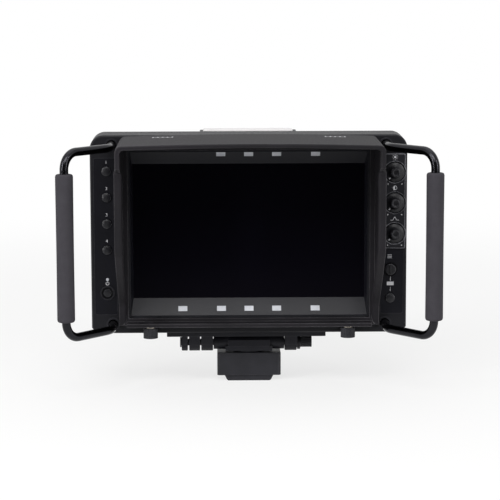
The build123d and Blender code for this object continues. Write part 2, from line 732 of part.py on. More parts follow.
with BuildPart() as mount_plate_screws:
    with Locations(*[(x, mount_screw_y, mount_under) for x in mount_screw_x]):
        Cone(MOUNT_SCREW_HEAD, MOUNT_SCREW_RADIUS, MOUNT_SCREW_HEAD_HEIGHT, align=ON_BASE)
        Cylinder(MOUNT_SCREW_RADIUS, MOUNT_SCREW_LENGTH, align=ON_BASE)
save(mount_plate_screws, "mount_plate_screws")


def knob_panel_outline():
    """The raised panel: a rounded strip that bulges round each knob."""
    with BuildSketch() as outline:
        span(knob_panel_outer - KNOB_PANEL_WIDTH, knob_panel_outer, knob_panel_foot, knob_panel_top)
        fillet(outline.vertices(), PANEL_CORNER)
        discs(knob_points, knob_well + KNOB_BULGE)
    return outline.sketch


def control_sheet(side, top, gap=0.0):
    """The outline of a control panel, on the left or the right strip."""
    with BuildSketch() as outline:
        with Locations((side * (panel_outer - PANEL_WIDTH / 2), (top + panel_foot) / 2)):
            RectangleRounded(PANEL_WIDTH + 2 * gap, top - panel_foot + 2 * gap, PANEL_CORNER)
    return outline.sketch


def window_plane(outer_z, inner_z, along):
    """The plane of a sloping bezel face, this far in from its outer edge."""
    run = Vector(0, BEZEL_DEPTH - BEZEL_SET_BACK, inner_z - outer_z).normalized()
    side = 1 if inner_z > outer_z else -1
    centre = Vector(0, BEZEL_SET_BACK - CASE_FRONT, case_centre + outer_z) + run * along
    return Plane(origin=centre, x_dir=(1, 0, 0), z_dir=(0, -abs(run.Z), side * run.Y))


def windows(centres):
    """A row of small windows, in the current sketch."""
    with Locations(*[(x, 0) for x in centres]):
        Rectangle(WINDOW_WIDTH, WINDOW_HEIGHT)


# Front case: the moulded front with its opening, wells, screw bosses and board posts
with BuildPart() as front_case:
    with BuildSketch(front(CASE_DEPTH)):
        add(case_outline())
    extrude(amount=CASE_DEPTH)
    fillet(front_case.faces().sort_by(Axis.Y)[0].edges(), EDGE_ROUND)
    with BuildSketch(front(CASE_DEPTH)):
        add(case_outline(CASE_WALL))
    extrude(amount=CASE_DEPTH - CASE_WALL, mode=Mode.SUBTRACT)
    with BuildSketch(front(CASE_DEPTH)):
        discs(case_screws, CASE_BOSS_RADIUS)
    extrude(amount=CASE_DEPTH - CASE_WALL)
    with BuildSketch(front(RAIL_BOSS_BACK)):
        discs(rail_ends, RAIL_BOSS_RADIUS)
    extrude(amount=RAIL_BOSS_BACK - CASE_WALL)
    with BuildSketch(front(panel_back)):
        discs(chassis_posts, POST_RADIUS)
    extrude(amount=panel_back - CASE_WALL)
    with BuildSketch(front(LEFT_BOARD_DEPTH)):
        discs(left_board_posts, POST_RADIUS)
    extrude(amount=LEFT_BOARD_DEPTH - CASE_WALL)
    with BuildSketch(front(RIGHT_BOARD_DEPTH)):
        discs(right_board_posts, POST_RADIUS)
    extrude(amount=RIGHT_BOARD_DEPTH - CASE_WALL)
    with BuildSketch(level(case_foot)):
        discs([(x, mount_screw_y) for x in mount_screw_x], MOUNT_SCREW_RADIUS + MOUNT_BOSS_WALL)
    extrude(amount=CASE_WALL + MOUNT_BOSS_HEIGHT)
    with BuildSketch(front(CASE_WALL)):
        span(-open_half, open_half, open_bottom, open_top)
    extrude(amount=CASE_WALL, mode=Mode.SUBTRACT)
    with BuildSketch(front(PANEL_SHEET)):
        add(control_sheet(-1, panel_top, PANEL_GAP))
        add(control_sheet(1, right_panel_top, PANEL_GAP))
        add(knob_panel_outline())
    extrude(amount=PANEL_SHEET, mode=Mode.SUBTRACT)
    with BuildSketch(front(PANEL_SHEET)):
        discs([power_point], POWER_WELL_RADIUS + POWER_GUARD_WALL)
    extrude(amount=PANEL_SHEET + POWER_GUARD_PROUD)
    with BuildSketch(front(CASE_WALL)):
        discs(rail_ends, ROD_RADIUS + RAIL_HOLE_GAP + RAIL_RING_WALL)
    extrude(amount=CASE_WALL + RAIL_RING_PROUD)
    with BuildSketch(front(POWER_WELL_DEPTH)):
        discs([power_point], POWER_WELL_RADIUS)
    extrude(amount=POWER_WELL_DEPTH + POWER_GUARD_PROUD, mode=Mode.SUBTRACT)
    with BuildSketch(front(MENU_WELL_DEPTH)):
        discs([menu_point], MENU_RADIUS + MENU_WELL_GAP)
    extrude(amount=MENU_WELL_DEPTH, mode=Mode.SUBTRACT)
    with BuildSketch(front(CASE_WALL)):
        discs(button_points + [assign_point], BUTTON_RADIUS + BUTTON_FIT)
        discs([power_point], POWER_RADIUS + BUTTON_FIT)
        discs([led_point], LED_RADIUS + SHAFT_FIT)
        discs(knob_points, KNOB_SPINDLE_RADIUS + SHAFT_FIT)
        discs([menu_point], MENU_SPINDLE_RADIUS + SHAFT_FIT)
        discs(rail_ends, ROD_RADIUS + RAIL_HOLE_GAP)
    extrude(amount=CASE_WALL + RAIL_RING_PROUD, mode=Mode.SUBTRACT)
    with BuildSketch(front(RAIL_SEAT)):
        discs(rail_ends, ROD_RADIUS + SHAFT_FIT)
    extrude(amount=RAIL_SEAT - CASE_WALL, mode=Mode.SUBTRACT)
    with BuildSketch(front(RAIL_BOSS_BACK)):
        discs(rail_ends, RAIL_SCREW_RADIUS + SHAFT_FIT)
    extrude(amount=RAIL_BOSS_BACK - RAIL_SEAT, mode=Mode.SUBTRACT)
    with BuildSketch(front(CASE_DEPTH)):
        discs(case_screws, CASE_SCREW_RADIUS)
    extrude(amount=CASE_DEPTH - case_screw_tip, mode=Mode.SUBTRACT)
    with BuildSketch(level(case_foot)):
        discs([(x, mount_screw_y) for x in mount_screw_x], MOUNT_SCREW_RADIUS)
    extrude(amount=MOUNT_SCREW_LENGTH - MOUNT_PLATE_THICKNESS, mode=Mode.SUBTRACT)
save(front_case, "front_case")

# Seal between the case halves
with BuildPart() as case_seal:
    with BuildSketch(front(cover_front)):
        add(case_outline(SEAL_INSET))
        add(case_outline(CASE_WALL), mode=Mode.SUBTRACT)
    extrude(amount=SEAL_THICKNESS)
save(case_seal, "case_seal")

# The hollow of the rear cover, round its screw bosses and up into the tally light's pad
with BuildPart() as cover_space:
    with BuildSketch(front(rim_back - SHOULDER_WALL)):
        add(case_outline(CASE_WALL))
    extrude(amount=COVER_RIM - SEAL_THICKNESS - SHOULDER_WALL)
    with BuildSketch(front(shoulder_back - SHOULDER_WALL)):
        add(rear_outline(COVER_WALL))
    with BuildSketch(front(rim_back - SHOULDER_WALL)):
        add(case_outline(CASE_WALL))
    loft()
    with BuildSketch(front(cover_back - COVER_WALL)):
        add(rear_outline(COVER_WALL))
    extrude(amount=COVER_BOX_DEPTH - COVER_WALL + SHOULDER_WALL)
    with BuildSketch(level(case_centre)):
        with Locations((0, tally_y)):
            Rectangle(tally_pad_width - 2 * COVER_WALL, tally_pad_depth - 2 * COVER_WALL)
    extrude(amount=tally_seat_z - SHOULDER_WALL)
    with BuildSketch(front(shoulder_back)):
        discs(case_screws, CASE_SCREW_HEAD + BUTTON_FIT + COVER_BOSS_WALL)
    extrude(amount=shoulder_back - cover_front, mode=Mode.SUBTRACT)

# Rear cover: a rim, sloping shoulders and a smaller box, with a pad for the tally light
with BuildPart() as rear_cover:
    with BuildSketch(front(rim_back)):
        add(case_outline())
    extrude(amount=COVER_RIM - SEAL_THICKNESS)
    with BuildSketch(front(shoulder_back)):
        add(rear_outline())
    with BuildSketch(front(rim_back)):
        add(case_outline())
    loft()
    with BuildSketch(front(cover_back)):
        add(rear_outline())
    extrude(amount=COVER_BOX_DEPTH)
    fillet(rear_cover.faces().sort_by(Axis.Y)[-1].edges(), COVER_ROUND)
    with BuildSketch(level(case_centre)):
        with Locations((0, tally_y)):
            RectangleRounded(tally_pad_width, tally_pad_depth, TALLY_ROUND)
    extrude(amount=tally_pad_top)
    add(cover_space.part, mode=Mode.SUBTRACT)
    with BuildSketch(level(case_centre + tally_seat_z)):
        with Locations((0, tally_y)):
            RectangleRounded(TALLY_WIDTH + 2 * SHAFT_FIT, TALLY_DEPTH + 2 * SHAFT_FIT, TALLY_ROUND)
    extrude(amount=TALLY_SEAT, mode=Mode.SUBTRACT)
    with BuildSketch(front(case_screw_seat)):
        discs(case_screws, CASE_SCREW_HEAD + BUTTON_FIT)
    extrude(amount=case_screw_seat - shoulder_back, mode=Mode.SUBTRACT)
    with BuildSketch(front(case_screw_seat)):
        discs(case_screws, CASE_SCREW_RADIUS + SHAFT_FIT)
    extrude(amount=case_screw_seat - cover_front, mode=Mode.SUBTRACT)
    with BuildSketch(front(cover_back)):
        with Locations((0, HEAT_SINK_RISE)):
            Rectangle(heat_sink_opening, HEAT_SINK_HEIGHT - 2 * HEAT_SINK_MARGIN)
        for side in (-1, 1):
            with Locations((side * VENT_X, VENT_Z)):
                with GridLocations(VENT_PITCH, VENT_PITCH, 1, VENT_COUNT):
                    SlotOverall(VENT_LENGTH, VENT_WIDTH)
        discs([(CONNECTOR_X, CONNECTOR_Z)], CONNECTOR_RADIUS - CONNECTOR_WALL + SHAFT_FIT)
    extrude(amount=COVER_WALL, mode=Mode.SUBTRACT)
save(rear_cover, "rear_cover")

with BuildPart() as rear_cover_screws:
    with BuildSketch(front(case_screw_seat)):
        discs(case_screws, CASE_SCREW_RADIUS)
    extrude(amount=CASE_SCREW_LENGTH)
    with BuildSketch(front(case_screw_seat + CASE_SCREW_HEAD)):
        discs(case_screws, CASE_SCREW_HEAD)
    extrude(amount=CASE_SCREW_HEAD)
save(rear_cover_screws, "rear_cover_screws")

# Translucent tally lens in its pad, aluminium heat sink and the round signal socket
with BuildPart() as tally_lens:
    with BuildSketch(level(case_centre + tally_seat_z)):
        with Locations((0, tally_y)):
            RectangleRounded(TALLY_WIDTH, TALLY_DEPTH, TALLY_ROUND)
    extrude(amount=TALLY_SEAT + TALLY_PROUD)
    fillet(tally_lens.faces().sort_by(Axis.Z)[-1].edges(), TALLY_EDGE)
save(tally_lens, "tally_lens")

with BuildPart() as heat_sink:
    with BuildSketch(front(cover_back - COVER_WALL)):
        with Locations((0, HEAT_SINK_RISE)):
            Rectangle(HEAT_SINK_WIDTH, HEAT_SINK_HEIGHT)
    extrude(amount=HEAT_SINK_BASE)
    with BuildSketch(front(cover_back + FIN_PROUD)):
        with Locations((0, HEAT_SINK_RISE)):
            with GridLocations(heat_sink_opening / FIN_COUNT, 0, FIN_COUNT, 1):
                Rectangle(FIN_THICKNESS, HEAT_SINK_HEIGHT - 2 * HEAT_SINK_MARGIN - 2 * FIN_THICKNESS)
    extrude(amount=FIN_PROUD + COVER_WALL)
    with BuildSketch(front(cover_back - COVER_WALL - HEAT_SINK_BASE)):
        with Locations((0, HEAT_SINK_RISE)):
            Rectangle(CHIP_SIZE, CHIP_SIZE)
    extrude(amount=cover_back - COVER_WALL - HEAT_SINK_BASE - chip_back)
save(heat_sink, "heat_sink")

with BuildPart() as signal_connector:
    with BuildSketch(front(cover_back + CONNECTOR_FLANGE_THICKNESS)):
        with Locations((CONNECTOR_X, CONNECTOR_Z)):
            RectangleRounded(CONNECTOR_FLANGE, CONNECTOR_FLANGE, CONNECTOR_WALL)
    extrude(amount=CONNECTOR_FLANGE_THICKNESS)
    with BuildSketch(front(cover_back + CONNECTOR_LENGTH)):
        discs([(CONNECTOR_X, CONNECTOR_Z)], CONNECTOR_RADIUS)
    extrude(amount=CONNECTOR_LENGTH)
    with BuildSketch(front(cover_back)):
        discs([(CONNECTOR_X, CONNECTOR_Z)], CONNECTOR_RADIUS - CONNECTOR_WALL)
    extrude(amount=COVER_WALL + CONNECTOR_LENGTH)
    with BuildSketch(front(cover_back + CONNECTOR_LENGTH)):
        with Locations((CONNECTOR_X, CONNECTOR_Z)):
            Circle(CONNECTOR_RADIUS - CONNECTOR_WALL)
            with PolarLocations(CONNECTOR_PIN_CIRCLE, CONNECTOR_PINS):
                Circle(CONNECTOR_PIN_RADIUS, mode=Mode.SUBTRACT)
    extrude(amount=CONNECTOR_RECESS, mode=Mode.SUBTRACT)
save(signal_connector, "signal_connector")

# Bezel: sloping faces from the case's opening down to the screen
with BuildPart() as bezel_frame:
    with BuildSketch(front(BEZEL_DEPTH)):
        span(BEZEL_FIT - open_half, open_half - BEZEL_FIT, open_bottom + BEZEL_FIT, open_top - BEZEL_FIT)
    extrude(amount=BEZEL_DEPTH - BEZEL_SET_BACK)
    with BuildSketch(front(CASE_WALL + BEZEL_FLANGE_THICKNESS)):
        span(-open_half - BEZEL_FLANGE, open_half + BEZEL_FLANGE,
             open_bottom - BEZEL_FLANGE, open_top + BEZEL_FLANGE)
    extrude(amount=BEZEL_FLANGE_THICKNESS)
    with BuildSketch(front(BEZEL_DEPTH)):
        span(-VIEW_WIDTH / 2, VIEW_WIDTH / 2, view_bottom, view_top)
    with BuildSketch(front(BEZEL_SET_BACK)):
        span(BEZEL_LIP - open_half, open_half - BEZEL_LIP, lip_bottom, lip_top)
    loft(mode=Mode.SUBTRACT)
    with BuildSketch(window_plane(lip_top, view_top, WINDOW_SET_TOP)):
        windows(window_x[1:])
    extrude(amount=-WINDOW_DEPTH, mode=Mode.SUBTRACT)
    with BuildSketch(window_plane(lip_bottom, view_bottom, WINDOW_SET_BOTTOM)):
        windows(window_x)
    extrude(amount=-WINDOW_DEPTH, mode=Mode.SUBTRACT)
save(bezel_frame, "bezel_frame")

# Indicator windows in the bezel, with the status light beside the power button
with BuildPart() as indicator_windows:
    with BuildSketch(window_plane(lip_top, view_top, WINDOW_SET_TOP)):
        windows(window_x[1:])
    extrude(amount=-WINDOW_DEPTH)
    with BuildSketch(window_plane(lip_bottom, view_bottom, WINDOW_SET_BOTTOM)):
        windows(window_x)
    extrude(amount=-WINDOW_DEPTH)
    with BuildSketch(front(CASE_WALL)):
        discs([led_point], LED_RADIUS)
    extrude(amount=CASE_WALL + LED_PROUD)
save(indicator_windows, "indicator_windows")


def screen_layer(back, thickness):
    """One layer of the display, a little larger than the screen that shows."""
    with BuildPart() as layer:
        with BuildSketch(front(back)):
            span(-VIEW_WIDTH / 2 - PANEL_MARGIN, VIEW_WIDTH / 2 + PANEL_MARGIN,
                 view_bottom - PANEL_MARGIN, view_top + PANEL_MARGIN)
        extrude(amount=thickness)
    return layer


# Display glass and panel, the chassis that holds them and the main board on its spacers
display_glass = screen_layer(glass_back, GLASS_THICKNESS)
save(display_glass, "display_glass")

display_panel = screen_layer(panel_back, PANEL_THICKNESS)
save(display_panel, "display_panel")

with BuildPart() as panel_chassis:
    with BuildSketch(front(chassis_back)):
        span(-chassis_half, chassis_half, view_bottom - CHASSIS_MARGIN, view_top + CHASSIS_MARGIN)
    extrude(amount=CHASSIS_THICKNESS)
    with BuildSketch(front(main_board_front)):
        with Locations((0, view_centre)):
            with GridLocations(MAIN_BOARD_WIDTH - CHIP_SIZE, MAIN_BOARD_HEIGHT - CHIP_SIZE, 2, 2):
                Circle(SPACER_RADIUS)
    extrude(amount=SPACER_HEIGHT)
save(panel_chassis, "panel_chassis")

with BuildPart() as main_board:
    with BuildSketch(front(main_board_front + BOARD_THICKNESS)):
        with Locations((0, view_centre)):
            Rectangle(MAIN_BOARD_WIDTH, MAIN_BOARD_HEIGHT)
    extrude(amount=BOARD_THICKNESS)
    with BuildSketch(front(chip_back)):
        with Locations((0, HEAT_SINK_RISE)):
            Rectangle(CHIP_SIZE, CHIP_SIZE)
        with Locations((0, HEAT_SINK_RISE - 2 * CHIP_SIZE)):
            with GridLocations(CHIP_SIZE, 0, MEMORY_CHIPS, 1):
                Rectangle(CHIP_SIZE / 2, CHIP_SIZE / 2)
    extrude(amount=CHIP_HEIGHT)
save(main_board, "main_board")


def tact_switch(x, z, board_depth):
    """A square switch on a board, with a round plunger that reaches a button."""
    with BuildPart() as switch:
        with BuildSketch(front(board_depth)):
            with Locations((x, z)):
                Rectangle(SWITCH_SIZE, SWITCH_SIZE)
        extrude(amount=SWITCH_BODY)
        with BuildSketch(front(board_depth)):
            discs([(x, z)], SWITCH_SIZE / 4)
        extrude(amount=board_depth - switch_front)
    return switch.part


# Boards behind the two control strips, with their switches
with BuildPart() as left_control_board:
    with BuildSketch(front(LEFT_BOARD_DEPTH + BOARD_THICKNESS)):
        with Locations((button_x, (panel_top + panel_foot) / 2)):
            Rectangle(BOARD_WIDTH, panel_top - panel_foot - BOARD_WIDTH / 2)
    extrude(amount=BOARD_THICKNESS)
    for x, z in button_points + [power_point]:
        add(tact_switch(x, z, LEFT_BOARD_DEPTH))
save(left_control_board, "left_control_board")

with BuildPart() as right_control_board:
    with BuildSketch(front(RIGHT_BOARD_DEPTH + BOARD_THICKNESS)):
        with Locations((right_board_x, (panel_top + panel_foot) / 2)):
            Rectangle(BOARD_WIDTH, panel_top - panel_foot - BOARD_WIDTH / 2)
    extrude(amount=BOARD_THICKNESS)
    add(tact_switch(assign_point[0], assign_point[1], RIGHT_BOARD_DEPTH))
save(right_control_board, "right_control_board")

# Potentiometers behind the picture knobs, and the menu dial's encoder
with BuildPart() as potentiometers:
    with BuildSketch(front(RIGHT_BOARD_DEPTH)):
        discs(knob_points, POT_RADIUS)
    extrude(amount=RIGHT_BOARD_DEPTH - CASE_WALL)
    with BuildSketch(front(RIGHT_BOARD_DEPTH - POT_FLOOR)):
        discs(knob_points, KNOB_SPINDLE_RADIUS + SHAFT_FIT)
    extrude(amount=RIGHT_BOARD_DEPTH - POT_FLOOR - CASE_WALL, mode=Mode.SUBTRACT)
save(potentiometers, "potentiometers")

with BuildPart() as menu_encoder:
    with BuildSketch(front(RIGHT_BOARD_DEPTH)):
        with Locations(menu_point):
            Rectangle(ENCODER_SIZE, ENCODER_SIZE)
    extrude(amount=RIGHT_BOARD_DEPTH - CASE_WALL)
    with BuildSketch(front(plunger_back + MENU_TRAVEL + SWITCH_GAP)):
        discs([menu_point], plunger_radius + SHAFT_FIT)
    extrude(amount=plunger_back + MENU_TRAVEL + SWITCH_GAP - CASE_WALL, mode=Mode.SUBTRACT)
save(menu_encoder, "menu_encoder")

# Thin control panels, let into the case on both sides, and the raised knob panel
with BuildPart() as left_control_panel:
    with BuildSketch(front(PANEL_SHEET)):
        add(control_sheet(-1, panel_top))
        discs(button_points, BUTTON_RADIUS + BUTTON_FIT, Mode.SUBTRACT)
        discs([power_point], POWER_WELL_RADIUS + POWER_GUARD_WALL + SHAFT_FIT, Mode.SUBTRACT)
        discs([led_point], LED_RADIUS + SHAFT_FIT, Mode.SUBTRACT)
    extrude(amount=PANEL_SHEET)
save(left_control_panel, "left_control_panel")

with BuildPart() as right_control_panel:
    with BuildSketch(front(PANEL_SHEET)):
        add(control_sheet(1, right_panel_top))
        discs([menu_point], MENU_RADIUS + MENU_WELL_GAP, Mode.SUBTRACT)
        discs([assign_point], BUTTON_RADIUS + BUTTON_FIT, Mode.SUBTRACT)
    extrude(amount=PANEL_SHEET)
save(right_control_panel, "right_control_panel")

with BuildPart() as knob_panel:
    with BuildSketch(front(PANEL_SHEET)):
        add(knob_panel_outline())
    extrude(amount=PANEL_SHEET + KNOB_PANEL_PROUD)
    chamfer(knob_panel.faces().sort_by(Axis.Y)[0].edges(), KNOB_PANEL_BEVEL)
    with BuildSketch(front(KNOB_WELL_DEPTH - KNOB_PANEL_PROUD)):
        discs(knob_points, knob_well)
    extrude(amount=KNOB_WELL_DEPTH, mode=Mode.SUBTRACT)
    with BuildSketch(front(PANEL_SHEET)):
        discs(knob_points, KNOB_SPINDLE_RADIUS + SHAFT_FIT)
    extrude(amount=PANEL_SHEET + KNOB_PANEL_PROUD, mode=Mode.SUBTRACT)
save(knob_panel, "knob_panel")


def push_button(x, z, radius, proud, dome):
    """A round button with a domed cap and a flange that catches behind the case wall."""
    curve = (radius**2 + dome**2) / (2 * dome)
    with BuildPart() as button:
        with BuildSketch(turning(x, z)):
            with BuildLine():
                Polyline((0, -proud), (0, button_back), (radius + BUTTON_SKIRT, button_back),
                         (radius + BUTTON_SKIRT, CASE_WALL + SWITCH_GAP),
                         (radius, CASE_WALL + SWITCH_GAP), (radius, dome - proud))
                CenterArc((0, curve - proud), curve, -90, degrees(asin(radius / curve)))
            make_face()
        revolve(axis=control_axis(x, z))
    return button


# Push buttons: four on the left, the recessed power button and one more on the right
for number, (x, z) in enumerate(button_points):
    save(push_button(x, z, BUTTON_RADIUS, BUTTON_PROUD, BUTTON_DOME), f"button_{number + 1}")
save(push_button(power_point[0], power_point[1], POWER_RADIUS, POWER_PROUD, POWER_DOME), "power_button")
save(push_button(assign_point[0], assign_point[1], BUTTON_RADIUS, BUTTON_PROUD, BUTTON_DOME), "assign_button")


def picture_knob(x, z):
    """A pointer knob: a thin skirt, a hollow cone and a stem, on its own spindle."""
    skirt_front = knob_back - KNOB_SKIRT
    knob_front = knob_back - KNOB_HEIGHT
    stem_foot = (KNOB_STEM_RADIUS, skirt_front - KNOB_CONE_HEIGHT)
    with BuildPart() as knob:
        with BuildSketch(turning(x, z)):
            with BuildLine():
                Polyline(stem_foot, (KNOB_STEM_RADIUS, knob_front), (0, knob_front),
                         (0, KNOB_SPINDLE_DEPTH), (KNOB_SPINDLE_RADIUS, KNOB_SPINDLE_DEPTH),
                         (KNOB_SPINDLE_RADIUS, knob_back), (KNOB_RADIUS, knob_back),
                         (KNOB_RADIUS, skirt_front))
                SagittaArc((KNOB_RADIUS, skirt_front), stem_foot, KNOB_CONE)
            make_face()
        revolve(axis=control_axis(x, z))
        fillet(knob.faces().sort_by(Axis.Y)[0].edges(), KNOB_STEM_ROUND)
        with BuildSketch(front(knob_front)):
            with Locations((x, z)):
                with PolarLocations(KNOB_STEM_RADIUS / 2, 1, start_angle=-90 - POINTER_ANGLE):
                    Rectangle(KNOB_STEM_RADIUS, POINTER_WIDTH)
        extrude(amount=-POINTER_DEPTH, mode=Mode.SUBTRACT)
    return knob


for (x, z), label in zip(knob_points, ("brightness_knob", "contrast_knob", "peaking_knob")):
    save(picture_knob(x, z), label)

# Menu dial: a ridged cap on a spindle, in a cup that slides into the encoder
with BuildPart() as menu_knob:
    with BuildSketch(front(menu_back)):
        discs([menu_point], MENU_RADIUS)
    extrude(amount=menu_back + MENU_PROUD)
    with BuildSketch(turning(menu_x, menu_z)):
        with BuildLine():
            Polyline((-MENU_RADIUS, menu_back), (MENU_RADIUS, menu_back),
                     (MENU_RADIUS, MENU_RIDGE - MENU_PROUD), (0, -MENU_PROUD),
                     (-MENU_RADIUS, MENU_RIDGE - MENU_PROUD), close=True)
        make_face()
    extrude(amount=MENU_RADIUS, both=True, mode=Mode.INTERSECT)
    with BuildSketch(front(MENU_SPINDLE_DEPTH)):
        discs([menu_point], MENU_SPINDLE_RADIUS)
    extrude(amount=MENU_SPINDLE_DEPTH - menu_back)
save(menu_knob, "menu_knob")

with BuildPart() as menu_plunger:
    with BuildSketch(front(plunger_back)):
        discs([menu_point], plunger_radius)
    extrude(amount=PLUNGER_LENGTH)
    with BuildSketch(front(MENU_SPINDLE_DEPTH + SWITCH_GAP)):
        discs([menu_point], MENU_SPINDLE_RADIUS + SHAFT_FIT)
    extrude(amount=PLUNGER_LENGTH, mode=Mode.SUBTRACT)
save(menu_plunger, "menu_plunger")


def hood_arch(half_width, top, foot, corner):
    """A hood section: straight sides under a gently crowned roof."""
    with BuildSketch() as arch:
        with BuildLine():
            Polyline((-half_width, top), (-half_width, foot), (half_width, foot), (half_width, top))
            ThreePointArc((half_width, top), (0, top + HOOD_CROWN), (-half_width, top))
        make_face()
        fillet(arch.vertices().group_by(Axis.Y)[-1], corner)
    return arch.sketch


# Hood frame: a ring on the case's front with a ledge for the thumbscrews
with BuildPart() as hood_frame:
    with BuildSketch(front(0)):
        add(hood_arch(frame_half, roof_z - HOOD_ROOF - HOOD_FIT, ledge_foot, HOOD_CORNER - HOOD_TAB_WALL))
        span(-open_half - HOOD_FRAME_LIP, open_half + HOOD_FRAME_LIP,
             open_bottom - HOOD_FRAME_LIP, open_top + HOOD_FRAME_LIP, Mode.SUBTRACT)
    extrude(amount=HOOD_FRAME_DEPTH)
    with BuildSketch(front(0)):
        span(-ledge_half, ledge_half, ledge_foot, ledge_top)
    extrude(amount=LEDGE_DEPTH)
    with BuildSketch(level(case_centre + ledge_foot)):
        discs(thumb_points, THUMB_THREAD_RADIUS + SHAFT_FIT)
    extrude(amount=LEDGE_THICKNESS, mode=Mode.SUBTRACT)
save(hood_frame, "hood_frame")

# Hood top: a crowned roof with side tabs and a thicker front rim
with BuildPart() as hood_top:
    with BuildSketch(front(0)):
        add(hood_arch(hood_half, roof_z, tab_foot, HOOD_CORNER))
        add(hood_arch(side_inner, roof_z - HOOD_ROOF, tab_foot, HOOD_CORNER - HOOD_TAB_WALL),
            mode=Mode.SUBTRACT)
    extrude(amount=HOOD_LENGTH)
    with BuildSketch(front(HOOD_RIM_DEPTH - HOOD_LENGTH)):
        add(hood_arch(hood_half, roof_z, tab_foot, HOOD_CORNER))
        add(hood_arch(hood_inner, roof_z - HOOD_RIM_ROOF, tab_foot, HOOD_CORNER - HOOD_TAB_WALL),
            mode=Mode.SUBTRACT)
    extrude(amount=HOOD_RIM_DEPTH)
    fillet(hood_top.faces().sort_by(Axis.Y)[0].edges(), HOOD_ROUND)
save(hood_top, "hood_top")

# The side of a hood wing: an upright front edge that sweeps back to the ledge
with BuildSketch() as wing_side:
    with BuildLine():
        FilletPolyline(
            (0, wing_foot),
            (0, wing_top),
            (WING_LENGTH, wing_top),
            (WING_LENGTH, WING_BREAK - case_top),
            (WING_KNEE[0], WING_KNEE[1] - case_top),
            (WING_ANKLE[0], WING_ANKLE[1] - case_top),
            (WING_TOE, wing_foot),
            radius=[0, 0, WING_TOP_ROUND, WING_BREAK_ROUND, WING_KNEE_ROUND, WING_ANKLE_ROUND, 0],
            close=True,
        )
    make_face()

# Left wing: the side wall, a flange turned in along its front edge and a flap up inside the top
with BuildPart() as hood_left_wing:
    with BuildSketch(hood_side(-wing_half)):
        add(wing_side.sketch)
    extrude(amount=side_inner - wing_half)
    with BuildSketch(hood_side(-wing_half)):
        add(wing_side.sketch)
        with Locations((-WING_FLANGE_DEPTH, wing_flange_lift)):
            add(wing_side.sketch, mode=Mode.SUBTRACT)
        span(0, HOOD_FRAME_DEPTH + HOOD_FIT, wing_foot, wing_top, Mode.SUBTRACT)
    extrude(amount=-WING_FLANGE)
    fillet(hood_left_wing.edges().filter_by(Axis.Y).group_by(Axis.X)[-1].sort_by(Axis.Z)[-1],
           WING_FLANGE_ROUND)
    with BuildSketch(hood_side(-side_inner)):
        span(HOOD_FRAME_DEPTH, WING_LENGTH - WING_TOP_ROUND, wing_top - FLAP_OVERLAP, wing_top + FLAP_RISE)
    extrude(amount=-FLAP_THICKNESS)
save(hood_left_wing, "hood_left_wing")

with BuildPart() as hood_right_wing:
    mirror(hood_left_wing.part, about=Plane.YZ)
save(hood_right_wing, "hood_right_wing")


def thumbscrew(point):
    """A knurled head under a plain collar, with the thread that passes through the ledge."""
    with BuildPart() as screw:
        with BuildSketch(level(case_centre + ledge_foot - THUMB_COLLAR_HEIGHT - THUMB_HEAD_HEIGHT)):
            with Locations(point):
                Circle(THUMB_HEAD_RADIUS)
                with PolarLocations(THUMB_HEAD_RADIUS, THUMB_FLUTES):
                    Rectangle(KNURL_DEPTH, KNURL_DEPTH, rotation=45, mode=Mode.SUBTRACT)
        extrude(amount=THUMB_HEAD_HEIGHT)
        with BuildSketch(level(case_centre + ledge_foot - THUMB_COLLAR_HEIGHT)):
            discs([point], THUMB_COLLAR_RADIUS)
        extrude(amount=THUMB_COLLAR_HEIGHT)
        with BuildSketch(level(case_centre + ledge_foot)):
            discs([point], THUMB_THREAD_RADIUS)
        extrude(amount=LEDGE_THICKNESS)
    return screw


for point, label in zip(thumb_points, ("hood_screw_left", "hood_screw_right")):
    save(thumbscrew(point), label)


def hand_rail(side):
    """A bent rod: out of the case, outwards at an elbow, then down past the grip and back."""
    elbow = (side * rail_x, -CASE_FRONT - RAIL_STRAIGHT)
    seat = (side * rail_x, RAIL_SEAT - CASE_FRONT)
    top = case_centre + rail_z
    foot = case_centre - rail_z
    with BuildPart() as rail:
        with BuildLine() as route:
            FilletPolyline(
                (*seat, top), (*elbow, top), (side * grip_x, grip_y, top),
                (side * grip_x, grip_y, foot), (*elbow, foot), (*seat, foot),
                radius=[RAIL_ELBOW, RAIL_CORNER, RAIL_CORNER, RAIL_ELBOW],
            )
        with BuildSketch(Plane(origin=route.line @ 0, z_dir=route.line % 0)):
            Circle(ROD_RADIUS)
        sweep()
        with BuildSketch(front(RAIL_SEAT)):
            discs(rail_ends, RAIL_SCREW_RADIUS)
        extrude(amount=RAIL_SCREW_LENGTH - RAIL_BOSS_BACK + RAIL_SEAT, mode=Mode.SUBTRACT)
    return rail


def hand_grip(side):
    """A foam sleeve round the upright of a rail."""
    with BuildPart() as grip:
        with BuildSketch(level(case_centre - GRIP_DROP - GRIP_LENGTH / 2)):
            with Locations((side * grip_x, grip_y)):
                Circle(GRIP_RADIUS)
                Circle(ROD_RADIUS, mode=Mode.SUBTRACT)
        extrude(amount=GRIP_LENGTH)
        fillet(grip.edges().filter_by(GeomType.CIRCLE).group_by(SortBy.RADIUS)[-1], GRIP_ROUND)
    return grip


# Hand rails with their foam grips, and the screws that hold the rods from inside
for side, name in ((-1, "left"), (1, "right")):
    save(hand_rail(side), f"{name}_handle")
    save(hand_grip(side), f"{name}_grip")

with BuildPart() as handle_screws:
    with BuildSketch(front(RAIL_BOSS_BACK)):
        discs(rail_ends, RAIL_SCREW_RADIUS)
    extrude(amount=RAIL_SCREW_LENGTH)
    with BuildSketch(front(RAIL_BOSS_BACK + RAIL_SCREW_HEAD)):
        discs(rail_ends, RAIL_SCREW_HEAD)
    extrude(amount=RAIL_SCREW_HEAD)
save(handle_screws, "handle_screws")
